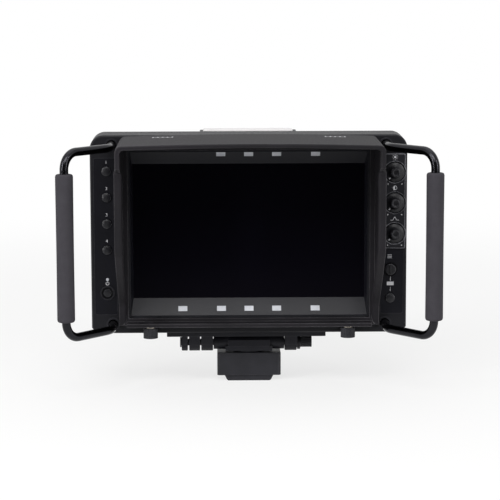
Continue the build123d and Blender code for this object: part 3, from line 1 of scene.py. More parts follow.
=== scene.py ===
from math import atan2, cos, hypot, pi, radians, sin

import bpy
from mathutils import Matrix, Vector


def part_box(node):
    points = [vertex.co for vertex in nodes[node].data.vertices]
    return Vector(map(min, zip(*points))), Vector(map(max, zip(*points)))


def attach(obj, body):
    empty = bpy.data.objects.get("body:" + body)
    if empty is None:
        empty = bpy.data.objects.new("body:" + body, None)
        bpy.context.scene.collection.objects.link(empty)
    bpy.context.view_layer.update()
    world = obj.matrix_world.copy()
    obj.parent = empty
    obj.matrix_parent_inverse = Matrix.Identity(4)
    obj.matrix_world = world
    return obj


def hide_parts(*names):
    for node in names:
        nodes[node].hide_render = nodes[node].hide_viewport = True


# A studio camera viewfinder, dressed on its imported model. Metres, +Z up, the screen
# faces -Y. The origin is under the camera shoe, on the pan axis.

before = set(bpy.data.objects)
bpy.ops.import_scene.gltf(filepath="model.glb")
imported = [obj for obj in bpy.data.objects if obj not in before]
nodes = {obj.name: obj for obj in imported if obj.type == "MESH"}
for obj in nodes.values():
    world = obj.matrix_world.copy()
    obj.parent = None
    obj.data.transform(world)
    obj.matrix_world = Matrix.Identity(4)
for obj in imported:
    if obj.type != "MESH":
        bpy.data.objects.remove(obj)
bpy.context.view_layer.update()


# Studio floor: a pale paper sweep that holds the object's shadow and fades to white round
# it. Every ray but the camera's finds its front part dark, so front faces mirror no white.
def linear(shade):
    """An sRGB hex colour as a linear RGBA tuple."""
    parts = [int(shade[place:place + 2], 16) / 255 for place in (1, 3, 5)]
    curved = [part / 12.92 if part <= 0.04045 else ((part + 0.055) / 1.055) ** 2.4 for part in parts]
    return tuple(curved) + (1,)


def add_node(tree, kind, settings=None, links=None):
    """Add a shader node, set its options or sockets by name or number, and link its inputs."""
    node = tree.nodes.new(kind)
    for name, value in (settings or {}).items():
        if isinstance(name, str) and hasattr(node, name):
            setattr(node, name, value)
        else:
            node.inputs[name].default_value = value
    for name, (source, output) in (links or {}).items():
        tree.links.new(source.outputs[output], node.inputs[name])
    return node


def new_material(name):
    """An empty node material with its output node."""
    material = bpy.data.materials.new(name)
    material.use_nodes = True
    material.node_tree.nodes.clear()
    return material, add_node(material.node_tree, "ShaderNodeOutputMaterial")


def looking_rays(tree):
    """Shares of the rays that see the studio white, and of the rays that aren't the camera's."""
    rays = add_node(tree, "ShaderNodeLightPath")
    white_seen = add_node(tree, "ShaderNodeMath", {"operation": "MAXIMUM"},
                          {0: (rays, "Is Camera Ray"), 1: (rays, "Is Glossy Ray")})
    white_seen = add_node(tree, "ShaderNodeMath", {"operation": "MAXIMUM"},
                          {0: (white_seen, 0), 1: (rays, "Is Transmission Ray")})
    unseen = add_node(tree, "ShaderNodeMath", {"operation": "SUBTRACT", 0: 1.0}, {1: (rays, "Is Camera Ray")})
    return white_seen, unseen


def front_share(tree, place, output, span, unseen):
    """Share of the dark front: 1 before the span along Y, 0 behind it, and 0 to the camera."""
    sides = add_node(tree, "ShaderNodeSeparateXYZ", {}, {0: (place, output)})
    front = add_node(tree, "ShaderNodeMapRange",
                     {"interpolation_type": "SMOOTHSTEP", "From Min": span[0], "From Max": span[1],
                      "To Min": 1.0, "To Max": 0.0}, {"Value": (sides, "Y")})
    return add_node(tree, "ShaderNodeMath", {"operation": "MULTIPLY"}, {0: (front, 0), 1: (unseen, 0)})


WHITE = (1, 1, 1, 1)
ROOM_LEVEL = 0.08
FLOOR_SIZE = 14.0
FLOOR_SHADE = "#f0f0ef"
FLOOR_CLEAR = (0.25, 1.0)
FLOOR_GLOW = (0.72, 1.0)
FLOOR_DARK = (-0.7, -0.12)

bpy.ops.object.select_all(action="DESELECT")
bpy.ops.mesh.primitive_plane_add(size=FLOOR_SIZE)
floor = bpy.context.object
floor.name = "studio_floor"
floor.data.name = "studio_floor"
paper, paper_out = new_material("white_paper_sweep")
tree = paper.node_tree
place = add_node(tree, "ShaderNodeTexCoord")
reach = add_node(tree, "ShaderNodeVectorMath", {"operation": "LENGTH"}, {0: (place, "Object")})
fade = add_node(tree, "ShaderNodeMapRange",
                {"interpolation_type": "SMOOTHSTEP", "From Min": FLOOR_CLEAR[0], "From Max": FLOOR_CLEAR[1],
                 "To Min": FLOOR_GLOW[0], "To Max": FLOOR_GLOW[1]}, {"Value": (reach, "Value")})
white_seen, unseen = looking_rays(tree)
share = add_node(tree, "ShaderNodeMath", {"operation": "MULTIPLY"}, {0: (white_seen, 0), 1: (fade, 0)})
card = add_node(tree, "ShaderNodeBsdfDiffuse", {"Color": linear(FLOOR_SHADE)})
glow = add_node(tree, "ShaderNodeEmission", {"Color": WHITE, "Strength": 1.0})
mixed = add_node(tree, "ShaderNodeMixShader", {}, {0: (share, 0), 1: (card, 0), 2: (glow, 0)})
front = front_share(tree, place, "Object", FLOOR_DARK, unseen)
room = add_node(tree, "ShaderNodeEmission", {"Color": WHITE, "Strength": ROOM_LEVEL})
mixed = add_node(tree, "ShaderNodeMixShader", {}, {0: (front, 0), 1: (mixed, 0), 2: (room, 0)})
tree.links.new(mixed.outputs[0], paper_out.inputs["Surface"])
floor.data.materials.append(paper)

# Studio room: white to the camera, a soft level of light from behind and above, and dark
# in front, where the photographer stands.
AMBIENT = 0.4
ROOM_DARK = (-0.85, -0.1)

world = bpy.data.worlds.new("white_studio")
bpy.context.scene.world = world
world.use_nodes = True
tree = world.node_tree
tree.nodes.clear()
white_seen, unseen = looking_rays(tree)
soft = add_node(tree, "ShaderNodeBackground", {"Color": WHITE, "Strength": AMBIENT})
white = add_node(tree, "ShaderNodeBackground", {"Color": WHITE, "Strength": 1.0})
mixed = add_node(tree, "ShaderNodeMixShader", {}, {0: (white_seen, 0), 1: (soft, 0), 2: (white, 0)})
place = add_node(tree, "ShaderNodeTexCoord")
front = front_share(tree, place, "Generated", ROOM_DARK, unseen)
room = add_node(tree, "ShaderNodeBackground", {"Color": WHITE, "Strength": ROOM_LEVEL})
mixed = add_node(tree, "ShaderNodeMixShader", {}, {0: (front, 0), 1: (mixed, 0), 2: (room, 0)})
add_node(tree, "ShaderNodeOutputWorld", {}, {"Surface": (mixed, 0)})

# Lamps: a wide soft box overhead, one in front and above, and a tall strip at each side,
# the left one stronger. Name, width, height, watts, place, and the lean and turn in degrees.
LAMPS = (("overhead_softbox", 1.2, 1.2, 4.0, (0.0, 0.1, 1.35), (0, 0)),
         ("front_softbox", 1.2, 0.7, 15.0, (-0.15, -1.15, 1.25), (46, -6)),
         ("left_strip", 0.14, 1.1, 10.0, (-1.1, -0.95, 0.55), (76, -49)),
         ("right_strip", 0.14, 1.1, 5.5, (1.1, -0.95, 0.55), (76, 49)))
for label, width, height, watts, spot, (lean, turn) in LAMPS:
    bpy.ops.object.light_add(type="AREA", location=spot, rotation=(radians(lean), 0, radians(turn)))
    lamp = bpy.context.object
    lamp.name = label
    lamp.data.shape = "RECTANGLE"
    lamp.data.size = width
    lamp.data.size_y = height
    lamp.data.energy = watts

# Camera: a long lens 1.5 m in front of the screen, a little above it, looking down by 8.5
# degrees. It was fitted to the photograph's outline.
EYE = Vector((-0.0228, -1.526, 0.3247))
LENS = 148.68
SENSOR = 36.0
PITCH, YAW, ROLL = radians(8.5), radians(0.9), radians(-0.15)
bpy.ops.object.camera_add(location=EYE)
camera = bpy.context.object
camera.matrix_world = (Matrix.Translation(EYE) @ Matrix.Rotation(-YAW, 4, "Z")
                       @ Matrix.Rotation(pi / 2 - PITCH, 4, "X") @ Matrix.Rotation(ROLL, 4, "Z"))
camera.data.sensor_width = SENSOR
camera.data.lens = LENS
bpy.context.scene.camera = camera
bpy.context.scene.view_settings.view_transform = "Standard"


# Camera shoe, base block, connector and knurled heads: aluminium, machined, blasted and
# black anodised. The blast leaves an even fine grain, and the dye is worn a little at edges.
PATCH_NOISE = (0.35, 0.65)
GRAIN_NOISE = (0.3, 0.7)
GLOSS_SPREAD = 0.08
BUMP_STRENGTH = 0.6
# Edge lightening of the finishes below: wear on some, and on others a painted highlight along the edge.
EDGE_TURN = (0.995, 0.86)
EVEN_WEAR_AND_HIGHLIGHT = 0.5
WEAR_AND_HIGHLIGHT_CAP = 0.66


def finish_nodes(names, material):
    """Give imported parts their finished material."""
    for name in names:
        data = nodes[name].data
        if not data.materials:
            data.materials.append(material)
        for slot in range(len(data.materials)):
            data.materials[slot] = material


def surface(name, shade, shade_two, patch_mm, grain_mm, grain_depth, rough, metallic=0.0, specular=0.5,
            worn_and_highlit_shade=None, wear_and_highlight_mm=0.5, wear_and_highlight_amount=0.6):
    """A grained finish: two shades in soft patches, grain in bump and gloss, edges lighter as wear and
    painted highlight.
    """
    material, out = new_material(name)
    tree = material.node_tree
    place = add_node(tree, "ShaderNodeTexCoord")
    patches = add_node(tree, "ShaderNodeTexNoise",
                       {"Scale": 1000 / patch_mm, "Detail": 3.0, "Roughness": 0.55},
                       {"Vector": (place, "Object")})
    grain = add_node(tree, "ShaderNodeTexNoise", {"Scale": 1000 / grain_mm, "Detail": 2.0, "Roughness": 0.6},
                     {"Vector": (place, "Object")})
    spread = add_node(tree, "ShaderNodeMapRange", {"From Min": PATCH_NOISE[0], "From Max": PATCH_NOISE[1]},
                      {"Value": (patches, 0)})
    colour = add_node(tree, "ShaderNodeMix", {"data_type": "RGBA", 6: linear(shade), 7: linear(shade_two)},
                      {0: (spread, 0)})
    # Edges lightened towards the given shade: wear on some finishes, a painted highlight on others.
    if worn_and_highlit_shade:
        flat = add_node(tree, "ShaderNodeNewGeometry")
        eased = add_node(tree, "ShaderNodeBevel", {"samples": 4, "Radius": wear_and_highlight_mm / 1000})
        turn = add_node(tree, "ShaderNodeVectorMath", {"operation": "DOT_PRODUCT"},
                        {0: (flat, "Normal"), 1: (eased, "Normal")})
        edge = add_node(tree, "ShaderNodeMapRange",
                        {"From Min": EDGE_TURN[0], "From Max": EDGE_TURN[1], "To Max": wear_and_highlight_amount},
                        {"Value": (turn, "Value")})
        wear_and_highlight_share = add_node(tree, "ShaderNodeMath", {"operation": "MULTIPLY"}, {0: (edge, 0), 1: (spread, 0)})
        wear_and_highlight_share = add_node(tree, "ShaderNodeMath", {"operation": "MULTIPLY_ADD", 1: EVEN_WEAR_AND_HIGHLIGHT},
                       {0: (edge, 0), 2: (wear_and_highlight_share, 0)})
        wear_and_highlight_share = add_node(tree, "ShaderNodeMath", {"operation": "MULTIPLY", 1: WEAR_AND_HIGHLIGHT_CAP, "use_clamp": True},
                       {0: (wear_and_highlight_share, 0)})
        colour = add_node(tree, "ShaderNodeMix", {"data_type": "RGBA", 7: linear(worn_and_highlit_shade)},
                          {0: (wear_and_highlight_share, 0), 6: (colour, 2)})
    gloss = add_node(tree, "ShaderNodeMapRange",
                     {"From Min": GRAIN_NOISE[0], "From Max": GRAIN_NOISE[1], "To Min": rough - GLOSS_SPREAD,
                      "To Max": rough + GLOSS_SPREAD}, {"Value": (grain, 0)})
    bump = add_node(tree, "ShaderNodeBump", {"Strength": BUMP_STRENGTH, "Distance": grain_depth / 1000},
                    {"Height": (grain, 0)})
    skin = add_node(tree, "ShaderNodeBsdfPrincipled", {"Metallic": metallic, "Specular IOR Level": specular},
                    {"Base Color": (colour, 2), "Roughness": (gloss, 0), "Normal": (bump, 0)})
    tree.links.new(skin.outputs[0], out.inputs["Surface"])
    return material


anodised = surface("black_anodised_aluminium", "#202024", "#27272c", patch_mm=18, grain_mm=0.9,
                   grain_depth=0.05, rough=0.52, worn_and_highlit_shade="#66666a", wear_and_highlight_mm=0.4, specular=0.26)
finish_nodes(("mount_shoe", "base_block", "signal_connector", "tension_knob", "hood_screw_left",
              "hood_screw_right"), anodised)

# Steel and brass fittings: screws, nut, stud and spindles in zinc plate, which gives a
# clear, slightly cloudy shine, dark oxidised screws, pin and washers, and the turned bush.
zinc = surface("zinc_plated_steel", "#9c9da1", "#b4b5b8", patch_mm=6, grain_mm=0.5, grain_depth=0.01,
               rough=0.32, metallic=1.0)
finish_nodes(("shoe_screws", "pan_stud", "pan_nut", "handle_screws", "potentiometers", "menu_encoder"), zinc)
black_oxide = surface("black_oxide_steel", "#1b1b1d", "#26262a", patch_mm=5, grain_mm=0.4, grain_depth=0.01,
                      rough=0.38, metallic=0.7, specular=0.4, worn_and_highlit_shade="#7a7a7e", wear_and_highlight_mm=0.25)
finish_nodes(("pan_washer", "hinge_pin", "tension_washers", "mount_plate_screws", "rear_cover_screws"),
             black_oxide)
brass = surface("turned_brass", "#b08d4a", "#c09a55", patch_mm=8, grain_mm=0.4, grain_depth=0.01, rough=0.3,
                metallic=1.0)
finish_nodes(("pan_bush",), brass)

# Tilt hinge and mounting plate: steel and die-cast zinc under satin black stoving paint,
# which is even and a little softer at the edges.
stoved = surface("satin_stoving_paint", "#1a1a1f", "#202025", patch_mm=25, grain_mm=1.0, grain_depth=0.04,
                 rough=0.5, worn_and_highlit_shade="#55555a", specular=0.2)
finish_nodes(("yoke", "mount_plate", "hinge_end_cheek", "friction_unit", "hinge_knuckles"), stoved)

# Display case: magnesium die castings under textured paint, in two halves with a rubber
# seal between them. The paint has a fine pebble; its edges are painted lighter, as rubbed
# paint and as a painted highlight. The plate round the picture knobs is aluminium in satin
# paint, with a bright painted highlight along its rim.
case_paint = surface("textured_paint_on_magnesium", "#141418", "#18181c", patch_mm=45, grain_mm=1.1,
                     grain_depth=0.05, rough=0.5, worn_and_highlit_shade="#4b4b51", wear_and_highlight_mm=0.9, specular=0.2)
finish_nodes(("front_case", "rear_cover"), case_paint)
panel_paint = surface("satin_paint_on_aluminium_plate", "#17171c", "#1b1b20", patch_mm=30, grain_mm=0.9,
                      grain_depth=0.03, rough=0.45, worn_and_highlit_shade="#b0b0b8", wear_and_highlight_mm=0.8, wear_and_highlight_amount=1.0, specular=0.3)
finish_nodes(("knob_panel",), panel_paint)
rubber = surface("moulded_rubber", "#18181a", "#1d1d1f", patch_mm=15, grain_mm=0.8, grain_depth=0.03,
                 rough=0.75, specular=0.2)
finish_nodes(("case_seal",), rubber)

# Control panels and bezel: printed polycarbonate sheet and a moulded ABS frame. The sheet
# is flatter than the paint round it, and the frame has a light sheen.
sheet_black = surface("matt_polycarbonate_sheet", "#121217", "#15151b", patch_mm=30, grain_mm=0.8,
                      grain_depth=0.02, rough=0.5, specular=0.14)
finish_nodes(("left_control_panel", "right_control_panel"), sheet_black)
bezel_black = surface("moulded_abs", "#15151b", "#19191f", patch_mm=40, grain_mm=0.9, grain_depth=0.02,
                      rough=0.4, specular=0.28)
finish_nodes(("bezel_frame",), bezel_black)

# Push buttons: moulded nylon caps with a fine satin skin, on the board's switches. Their
# edges are painted lighter, as finger wear and as a painted highlight.
nylon = surface("moulded_nylon", "#17171b", "#1c1c20", patch_mm=8, grain_mm=0.6, grain_depth=0.015,
                rough=0.38, worn_and_highlit_shade="#85858b", wear_and_highlight_mm=0.45, wear_and_highlight_amount=0.8, specular=0.36)
finish_nodes(("button_1", "button_2", "button_3", "button_4", "power_button", "assign_button",
              "menu_plunger"), nylon)


# Picture knobs: moulded nylon with a thin flared skirt, a dished cone and a small stem with
# a hollow end, pushed on the control's spindle. A white pointer line is filled into each.
CASE_Z = 112.0
IN_FRONT = -0.06


def select_faces(piece, wanted):
    """Select the faces of a piece in edit mode that the test names, and no others."""
    bpy.ops.object.mode_set(mode="EDIT")
    bpy.ops.mesh.select_mode(type="FACE")
    bpy.ops.mesh.select_all(action="DESELECT")
    bpy.ops.object.mode_set(mode="OBJECT")
    for face in piece.data.polygons:
        face.select = wanted(face)
    bpy.ops.object.mode_set(mode="EDIT")


def face_outward():
    """Turn all faces of the piece in edit mode outward, and leave edit mode."""
    bpy.ops.mesh.select_all(action="SELECT")
    bpy.ops.mesh.normals_make_consistent(inside=False)
    bpy.ops.object.mode_set(mode="OBJECT")


def named(label):
    """The piece just made, with its name given to it and to its mesh."""
    piece = bpy.context.object
    piece.name = label
    piece.data.name = label
    return piece


def turned(label, profile, centre, sides=72):
    """A turned piece facing the operator: a disc drawn out ring by ring, radius and depth in mm."""
    bpy.ops.object.select_all(action="DESELECT")
    bpy.ops.mesh.primitive_circle_add(vertices=sides, radius=profile[0][0] / 1000, fill_type="NGON",
                                      location=(centre[0], profile[0][1] / 1000, centre[1]),
                                      rotation=(pi / 2, 0, 0))
    piece = named(label)
    bpy.ops.object.transform_apply(location=True, rotation=True, scale=True)
    bpy.ops.object.mode_set(mode="EDIT")
    bpy.ops.mesh.select_mode(type="VERT")
    bpy.ops.mesh.select_all(action="SELECT")
    for (radius, depth), (wider, deeper) in zip(profile, profile[1:]):
        bpy.ops.mesh.extrude_region_move(TRANSFORM_OT_translate={"value": (0, (deeper - depth) / 1000, 0)})
        bpy.ops.transform.resize(value=(wider / radius, 1, wider / radius),
                                 center_override=(centre[0], deeper / 1000, centre[1]))
    face_outward()
    bpy.ops.object.shade_smooth_by_angle(angle=radians(32))
    return piece


def stand_up(across, up, slant, width, height):
    """The place of a unit square stood up in front of the case, across and up from its middle, in mm."""
    return (Matrix.Translation((across / 1000, IN_FRONT, (CASE_Z + up) / 1000))
            @ Matrix.Rotation(radians(slant), 4, "Y") @ Matrix.Rotation(pi / 2, 4, "X")
            @ Matrix.Diagonal((width / 1000, height / 1000, 1, 1)))


ink = surface("screen_printed_ink", "#c4c4c8", "#d2d2d6", patch_mm=3, grain_mm=0.4, grain_depth=0.005,
              rough=0.6, specular=0.3)
KNOBS =(("brightness_knob", 45.75), ("contrast_knob", 23.15), ("peaking_knob", 0.55))
KNOB_X = 106.9
KNOB_PROFILE = ((2.6, -26.3), (6.6, -26.3), (6.95, -26.55), (7.0, -27.3), (6.85, -27.65), (6.5, -27.85),
                (5.8, -28.05), (5.0, -28.5), (4.2, -29.4), (3.6, -30.6), (3.35, -31.4), (3.3, -32.3),
                (3.1, -32.75), (2.7, -32.95), (2.25, -32.95), (1.9, -32.7), (1.7, -32.2), (0.4, -32.1))
POINTER_ACROSS, POINTER_UP, POINTER_SLANT = -4.0, -4.75, 40.0
POINTER_WIDTH, POINTER_LENGTH = 0.9, 1.9
FILL_PROUD, FILL_DEPTH = 0.00004, 0.0001
for name, height in KNOBS:
    knob = turned(f"{name}_cap", KNOB_PROFILE, (KNOB_X / 1000, (CASE_Z + height) / 1000))
    knob.data.materials.append(nylon)
    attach(knob, name)
    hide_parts(name)
    bpy.ops.object.select_all(action="DESELECT")
    bpy.ops.mesh.primitive_grid_add(x_subdivisions=2, y_subdivisions=8, size=1.0)
    line = named(f"{name}_pointer")
    line.matrix_world = stand_up(KNOB_X + POINTER_ACROSS, height + POINTER_UP, POINTER_SLANT,
                                 POINTER_WIDTH, POINTER_LENGTH)
    bpy.ops.object.transform_apply(location=True, rotation=True, scale=True)
    for corner in line.data.vertices:
        found, spot, facing, face = knob.ray_cast(corner.co, Vector((0, 1, 0)))
        corner.co.y = spot.y - FILL_PROUD
    bpy.ops.object.mode_set(mode="EDIT")
    bpy.ops.mesh.select_all(action="SELECT")
    bpy.ops.mesh.extrude_region_move(TRANSFORM_OT_translate={"value": (0, FILL_DEPTH, 0)})
    face_outward()
    line.data.materials.append(ink)
    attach(line, name)

# Menu dial: a nylon knob with a fine serrated rim, turned on the plunger that pushes the
# switch behind it. Every second face of the rim is let in a little.
MENU_X, MENU_Z = 104.1, -26.3
MENU_POINT = (MENU_X / 1000, (CASE_Z + MENU_Z) / 1000)
MENU_PROFILE = ((1.8, -25.6), (3.6, -25.6), (4.0, -25.8), (4.05, -27.4), (3.9, -27.95), (3.5, -28.2),
                (2.9, -28.25))
RIM_SIDES = 48
RIM_RADIUS, RIM_REACH, RIM_SLOPE = 0.00402, 0.0002, 0.3
FLUTE_EDGE, FLUTE_SHRINK = 0.00004, 0.97
dial = turned("menu_dial_cap", MENU_PROFILE, MENU_POINT, sides=RIM_SIDES)


def is_flute(face):
    """Whether a face is every second one round the dial's rim, counted by its angle."""
    across, up = face.center.x - MENU_POINT[0], face.center.z - MENU_POINT[1]
    sector = int(atan2(up, across) % (2 * pi) / (2 * pi / RIM_SIDES))
    on_rim = abs(hypot(across, up) - RIM_RADIUS) < RIM_REACH and abs(face.normal.y) < RIM_SLOPE
    return on_rim and sector % 2 == 0


select_faces(dial, is_flute)
bpy.ops.mesh.inset(thickness=FLUTE_EDGE, use_individual=True, use_outset=False)
bpy.ops.transform.resize(value=(FLUTE_SHRINK, 1, FLUTE_SHRINK),
                         center_override=(MENU_POINT[0], 0, MENU_POINT[1]))
bpy.ops.object.mode_set(mode="OBJECT")
dial.data.materials.append(nylon)
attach(dial, "menu_knob")
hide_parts("menu_knob")

# Finger bar: a nylon ridge across the menu dial, narrower at its top, moulded in one with it.
BAR_SIZE = (0.0013, 0.0011, 0.0070)
BAR_MIDDLE_Y, BAR_TOP_Y = -0.0286, -0.0291
BAR_TAPER = (0.55, 1, 0.8)
BAR_ROUND = 0.0002
bpy.ops.object.select_all(action="DESELECT")
bpy.ops.mesh.primitive_cube_add(size=1.0, location=(MENU_POINT[0], BAR_MIDDLE_Y, MENU_POINT[1]))
bar = named("menu_dial_finger_bar")
bar.scale = BAR_SIZE
bpy.ops.object.transform_apply(location=True, rotation=True, scale=True)
select_faces(bar, lambda face: face.normal.y < -0.9)
bpy.ops.transform.resize(value=BAR_TAPER, center_override=(MENU_POINT[0], BAR_TOP_Y, MENU_POINT[1]))
bpy.ops.object.mode_set(mode="OBJECT")
soften = bar.modifiers.new("soft_edges", "BEVEL")
soften.width = BAR_ROUND
soften.segments = 3
bpy.ops.object.modifier_apply(modifier=soften.name)
bpy.ops.object.shade_smooth_by_angle(angle=radians(40))
bar.data.materials.append(nylon)
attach(bar, "menu_knob")


# Printed marks on the control panels: white screen-printed ink, in plain numbers and
# general signs where the object's words stand. Places are mm from the case's middle.
INK_PROUD, INK_DEPTH = 0.00003, 0.00006
FIGURE_HEIGHT = 0.7


def ink_bar(across, up, width, height, slant=0.0):
    """A bar of ink, centred, turned by its slant in degrees."""
    bpy.ops.mesh.primitive_plane_add(size=1.0)
    bpy.context.object.matrix_world = stand_up(across, up, slant, width, height)
    return bpy.context.object


def ink_disc(across, up, radius, start=0.0, sweep=360.0, hole=0.0):
    """A disc, ring or sector of ink, its angles counted anticlockwise from the right."""
    bpy.ops.mesh.primitive_grid_add(x_subdivisions=24, y_subdivisions=1, size=1.0)
    mark = bpy.context.object
    for corner in mark.data.vertices:
        angle = radians(start + sweep * (corner.co.x + 0.5))
        reach = hole + (radius - hole) * (corner.co.y + 0.5)
        corner.co = ((across + reach * cos(angle)) / 1000, IN_FRONT,
                     (CASE_Z + up + reach * sin(angle)) / 1000)
    return mark


def ink_number(text, across, up, height):
    """A number in ink, centred, its height in mm."""
    bpy.ops.object.text_add()
    mark = bpy.context.object
    mark.data.body = text
    mark.data.align_x = "CENTER"
    mark.data.align_y = "CENTER"
    bpy.ops.object.convert(target="MESH")
    mark = bpy.context.object
    size = height / FIGURE_HEIGHT
    mark.matrix_world = stand_up(across, up, 0.0, size, size)
    return mark


def join_marks(label, marks):
    """Marks as one named mesh in its place."""
    bpy.ops.object.select_all(action="DESELECT")
    for mark in marks:
        mark.select_set(True)
    bpy.context.view_layer.objects.active = marks[0]
    bpy.ops.object.transform_apply(location=True, rotation=True, scale=True)
    bpy.ops.object.join()
    return named(label)


def print_on(label, carrier, marks):
    """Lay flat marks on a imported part's front as one thin skin of ink."""
    print_skin = join_marks(label, marks)
    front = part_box(carrier)[0][1]
    for corner in print_skin.data.vertices:
        corner.co.y = front - INK_PROUD
    bpy.ops.object.mode_set(mode="EDIT")
    bpy.ops.mesh.select_all(action="SELECT")
    bpy.ops.mesh.remove_doubles(threshold=0.000002)
    bpy.ops.mesh.extrude_region_move(TRANSFORM_OT_translate={"value": (0, INK_DEPTH, 0)})
    face_outward()
    print_skin.data.materials.append(ink)
    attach(print_skin, "display")


# Left panel: the numbers 1 to 4 over the round buttons and a power sign over the power button.
BUTTON_X = -104.1
BUTTON_Z = (47.1, 27.75, 8.4, -10.95)
NUMBER_ABOVE, NUMBER_HEIGHT = 6.5, 2.3
POWER_SIGN_Z = -35.9
marks = [ink_number(str(number + 1), BUTTON_X, height + NUMBER_ABOVE, NUMBER_HEIGHT)
         for number, height in enumerate(BUTTON_Z)]
marks += [ink_disc(BUTTON_X, POWER_SIGN_Z, 1.35, start=125, sweep=290, hole=0.95),
          ink_bar(BUTTON_X, POWER_SIGN_Z + 1.0, 0.4, 1.5)]
print_on("left_panel_print", "left_control_panel", marks)

# Knob panel: two end dots under each knob, and a sun, a half-filled circle and a peak above them.
SIGN_ABOVE, DOT_BELOW, DOT_APART, DOT_RADIUS = 11.0, 8.75, 5.1, 0.42
SUN_RADIUS, RAY_REACH, RAY_LENGTH, RAY_WIDTH = 0.85, 1.75, 0.75, 0.3
RING_RADIUS, RING_HOLE, FILL_RADIUS = 1.6, 1.3, 1.35
FLANK_OFF, FLANK_LENGTH, FLANK_SLANT = 0.75, 2.9, 28
BASE_OFF, BASE_BELOW, BASE_LENGTH, LINE_WIDTH = 2.3, 1.2, 1.6, 0.35
marks = []
for name, height in KNOBS:
    marks += [ink_disc(KNOB_X + side * DOT_APART, height - DOT_BELOW, DOT_RADIUS) for side in (-1, 1)]
sun, half, peak = (height + SIGN_ABOVE for name, height in KNOBS)
marks += [ink_disc(KNOB_X, sun, SUN_RADIUS)]
for turn in range(0, 360, 45):
    angle = radians(turn)
    marks += [ink_bar(KNOB_X + RAY_REACH * cos(angle), sun + RAY_REACH * sin(angle),
                      RAY_LENGTH, RAY_WIDTH, -turn)]
marks += [ink_disc(KNOB_X, half, RING_RADIUS, hole=RING_HOLE),
          ink_disc(KNOB_X, half, FILL_RADIUS, start=90, sweep=180)]
for side in (-1, 1):
    marks += [ink_bar(KNOB_X + side * FLANK_OFF, peak, LINE_WIDTH, FLANK_LENGTH, -side * FLANK_SLANT),
              ink_bar(KNOB_X + side * BASE_OFF, peak - BASE_BELOW, BASE_LENGTH, LINE_WIDTH)]
print_on("knob_panel_print", "knob_panel", marks)

# Right panel: three bars over the menu dial, and a plain block joined by lines to the dial
# above it and to the assign button below it.
ASSIGN_Z = -47.7
BARS_ABOVE, BARS_LEFT, BAR_STEP, BAR_WIDTH, BAR_HEIGHT = 9.6, 0.6, 1.1, 3.2, 0.35
JOIN_WIDTH, JOIN_LENGTH, BELOW_MENU, ABOVE_ASSIGN = 0.25, 3.2, 7.0, 6.6
BLOCK_BELOW, BLOCK_WIDTH, BLOCK_HEIGHT = 10.6, 5.0, 2.7
marks = [ink_bar(MENU_X - BARS_LEFT, MENU_Z + BARS_ABOVE + count * BAR_STEP, BAR_WIDTH, BAR_HEIGHT)
         for count in (-1, 0, 1)]
marks += [ink_bar(MENU_X, up, JOIN_WIDTH, JOIN_LENGTH)
          for up in (MENU_Z - BELOW_MENU, ASSIGN_Z + ABOVE_ASSIGN)]
marks += [ink_bar(MENU_X, MENU_Z - BLOCK_BELOW, BLOCK_WIDTH, BLOCK_HEIGHT)]
print_on("right_panel_print", "right_control_panel", marks)

# Screen: a thin sheet of anti-reflection coated glass, wiped by hand, over a dark display.
glass, glass_out = new_material("coated_display_glass")
tree = glass.node_tree
place = add_node(tree, "ShaderNodeTexCoord")
smears = add_node(tree, "ShaderNodeTexNoise", {"Scale": 45.0, "Detail": 4.0, "Roughness": 0.6},
                  {"Vector": (place, "Object")})
haze = add_node(tree, "ShaderNodeMapRange",
                {"From Min": 0.4, "From Max": 0.8, "To Min": 0.03, "To Max": 0.12}, {"Value": (smears, 0)})
skin = add_node(tree, "ShaderNodeBsdfPrincipled",
                {"Base Color": linear("#08070d"), "IOR": 1.5, "Specular IOR Level": 0.025},
                {"Roughness": (haze, 0)})
tree.links.new(skin.outputs[0], glass_out.inputs["Surface"])
finish_nodes(("display_glass",), glass)
panel_dark = surface("display_cell", "#08080a", "#0b0b0e", patch_mm=20, grain_mm=0.6, grain_depth=0.01,
                     rough=0.3, specular=0.2)
finish_nodes(("display_panel",), panel_dark)

# Inside the case and on its back: the chassis and the heat sink, extruded or bent from
# aluminium and black anodised, and the circuit boards under green solder mask.
sink = surface("black_anodised_extrusion", "#26262a", "#2e2e32", patch_mm=20, grain_mm=0.7, grain_depth=0.03,
               rough=0.45, worn_and_highlit_shade="#707074", specular=0.35)
finish_nodes(("heat_sink", "panel_chassis"), sink)
solder_mask = surface("green_solder_mask", "#1c4a2e", "#235a38", patch_mm=9, grain_mm=0.7, grain_depth=0.02,
                      rough=0.35)
finish_nodes(("main_board", "left_control_board", "right_control_board"), solder_mask)

# Indicator windows: small frosted acrylic lights let into the bezel. The tally light on
# top is a milky polycarbonate lens.
frosted = surface("frosted_acrylic", "#b9bbc2", "#c8cad0", patch_mm=4, grain_mm=0.5, grain_depth=0.01,
                  rough=0.4)
finish_nodes(("indicator_windows",), frosted)
milky = surface("milky_polycarbonate", "#d6d4d4", "#dedcdc", patch_mm=14, grain_mm=0.8, grain_depth=0.01,
                rough=0.35, specular=0.3)
finish_nodes(("tally_lens",), milky)

# Light hood: bent aluminium sheet under the case's textured paint, a shade warmer and lighter.
hood_paint = surface("textured_paint_on_sheet_aluminium", "#1c1b1e", "#222024", patch_mm=50, grain_mm=1.1,
                     grain_depth=0.06, rough=0.66, worn_and_highlit_shade="#7c7a7e", wear_and_highlight_mm=0.8, specular=0.16)
finish_nodes(("hood_frame", "hood_top", "hood_left_wing", "hood_right_wing"), hood_paint)

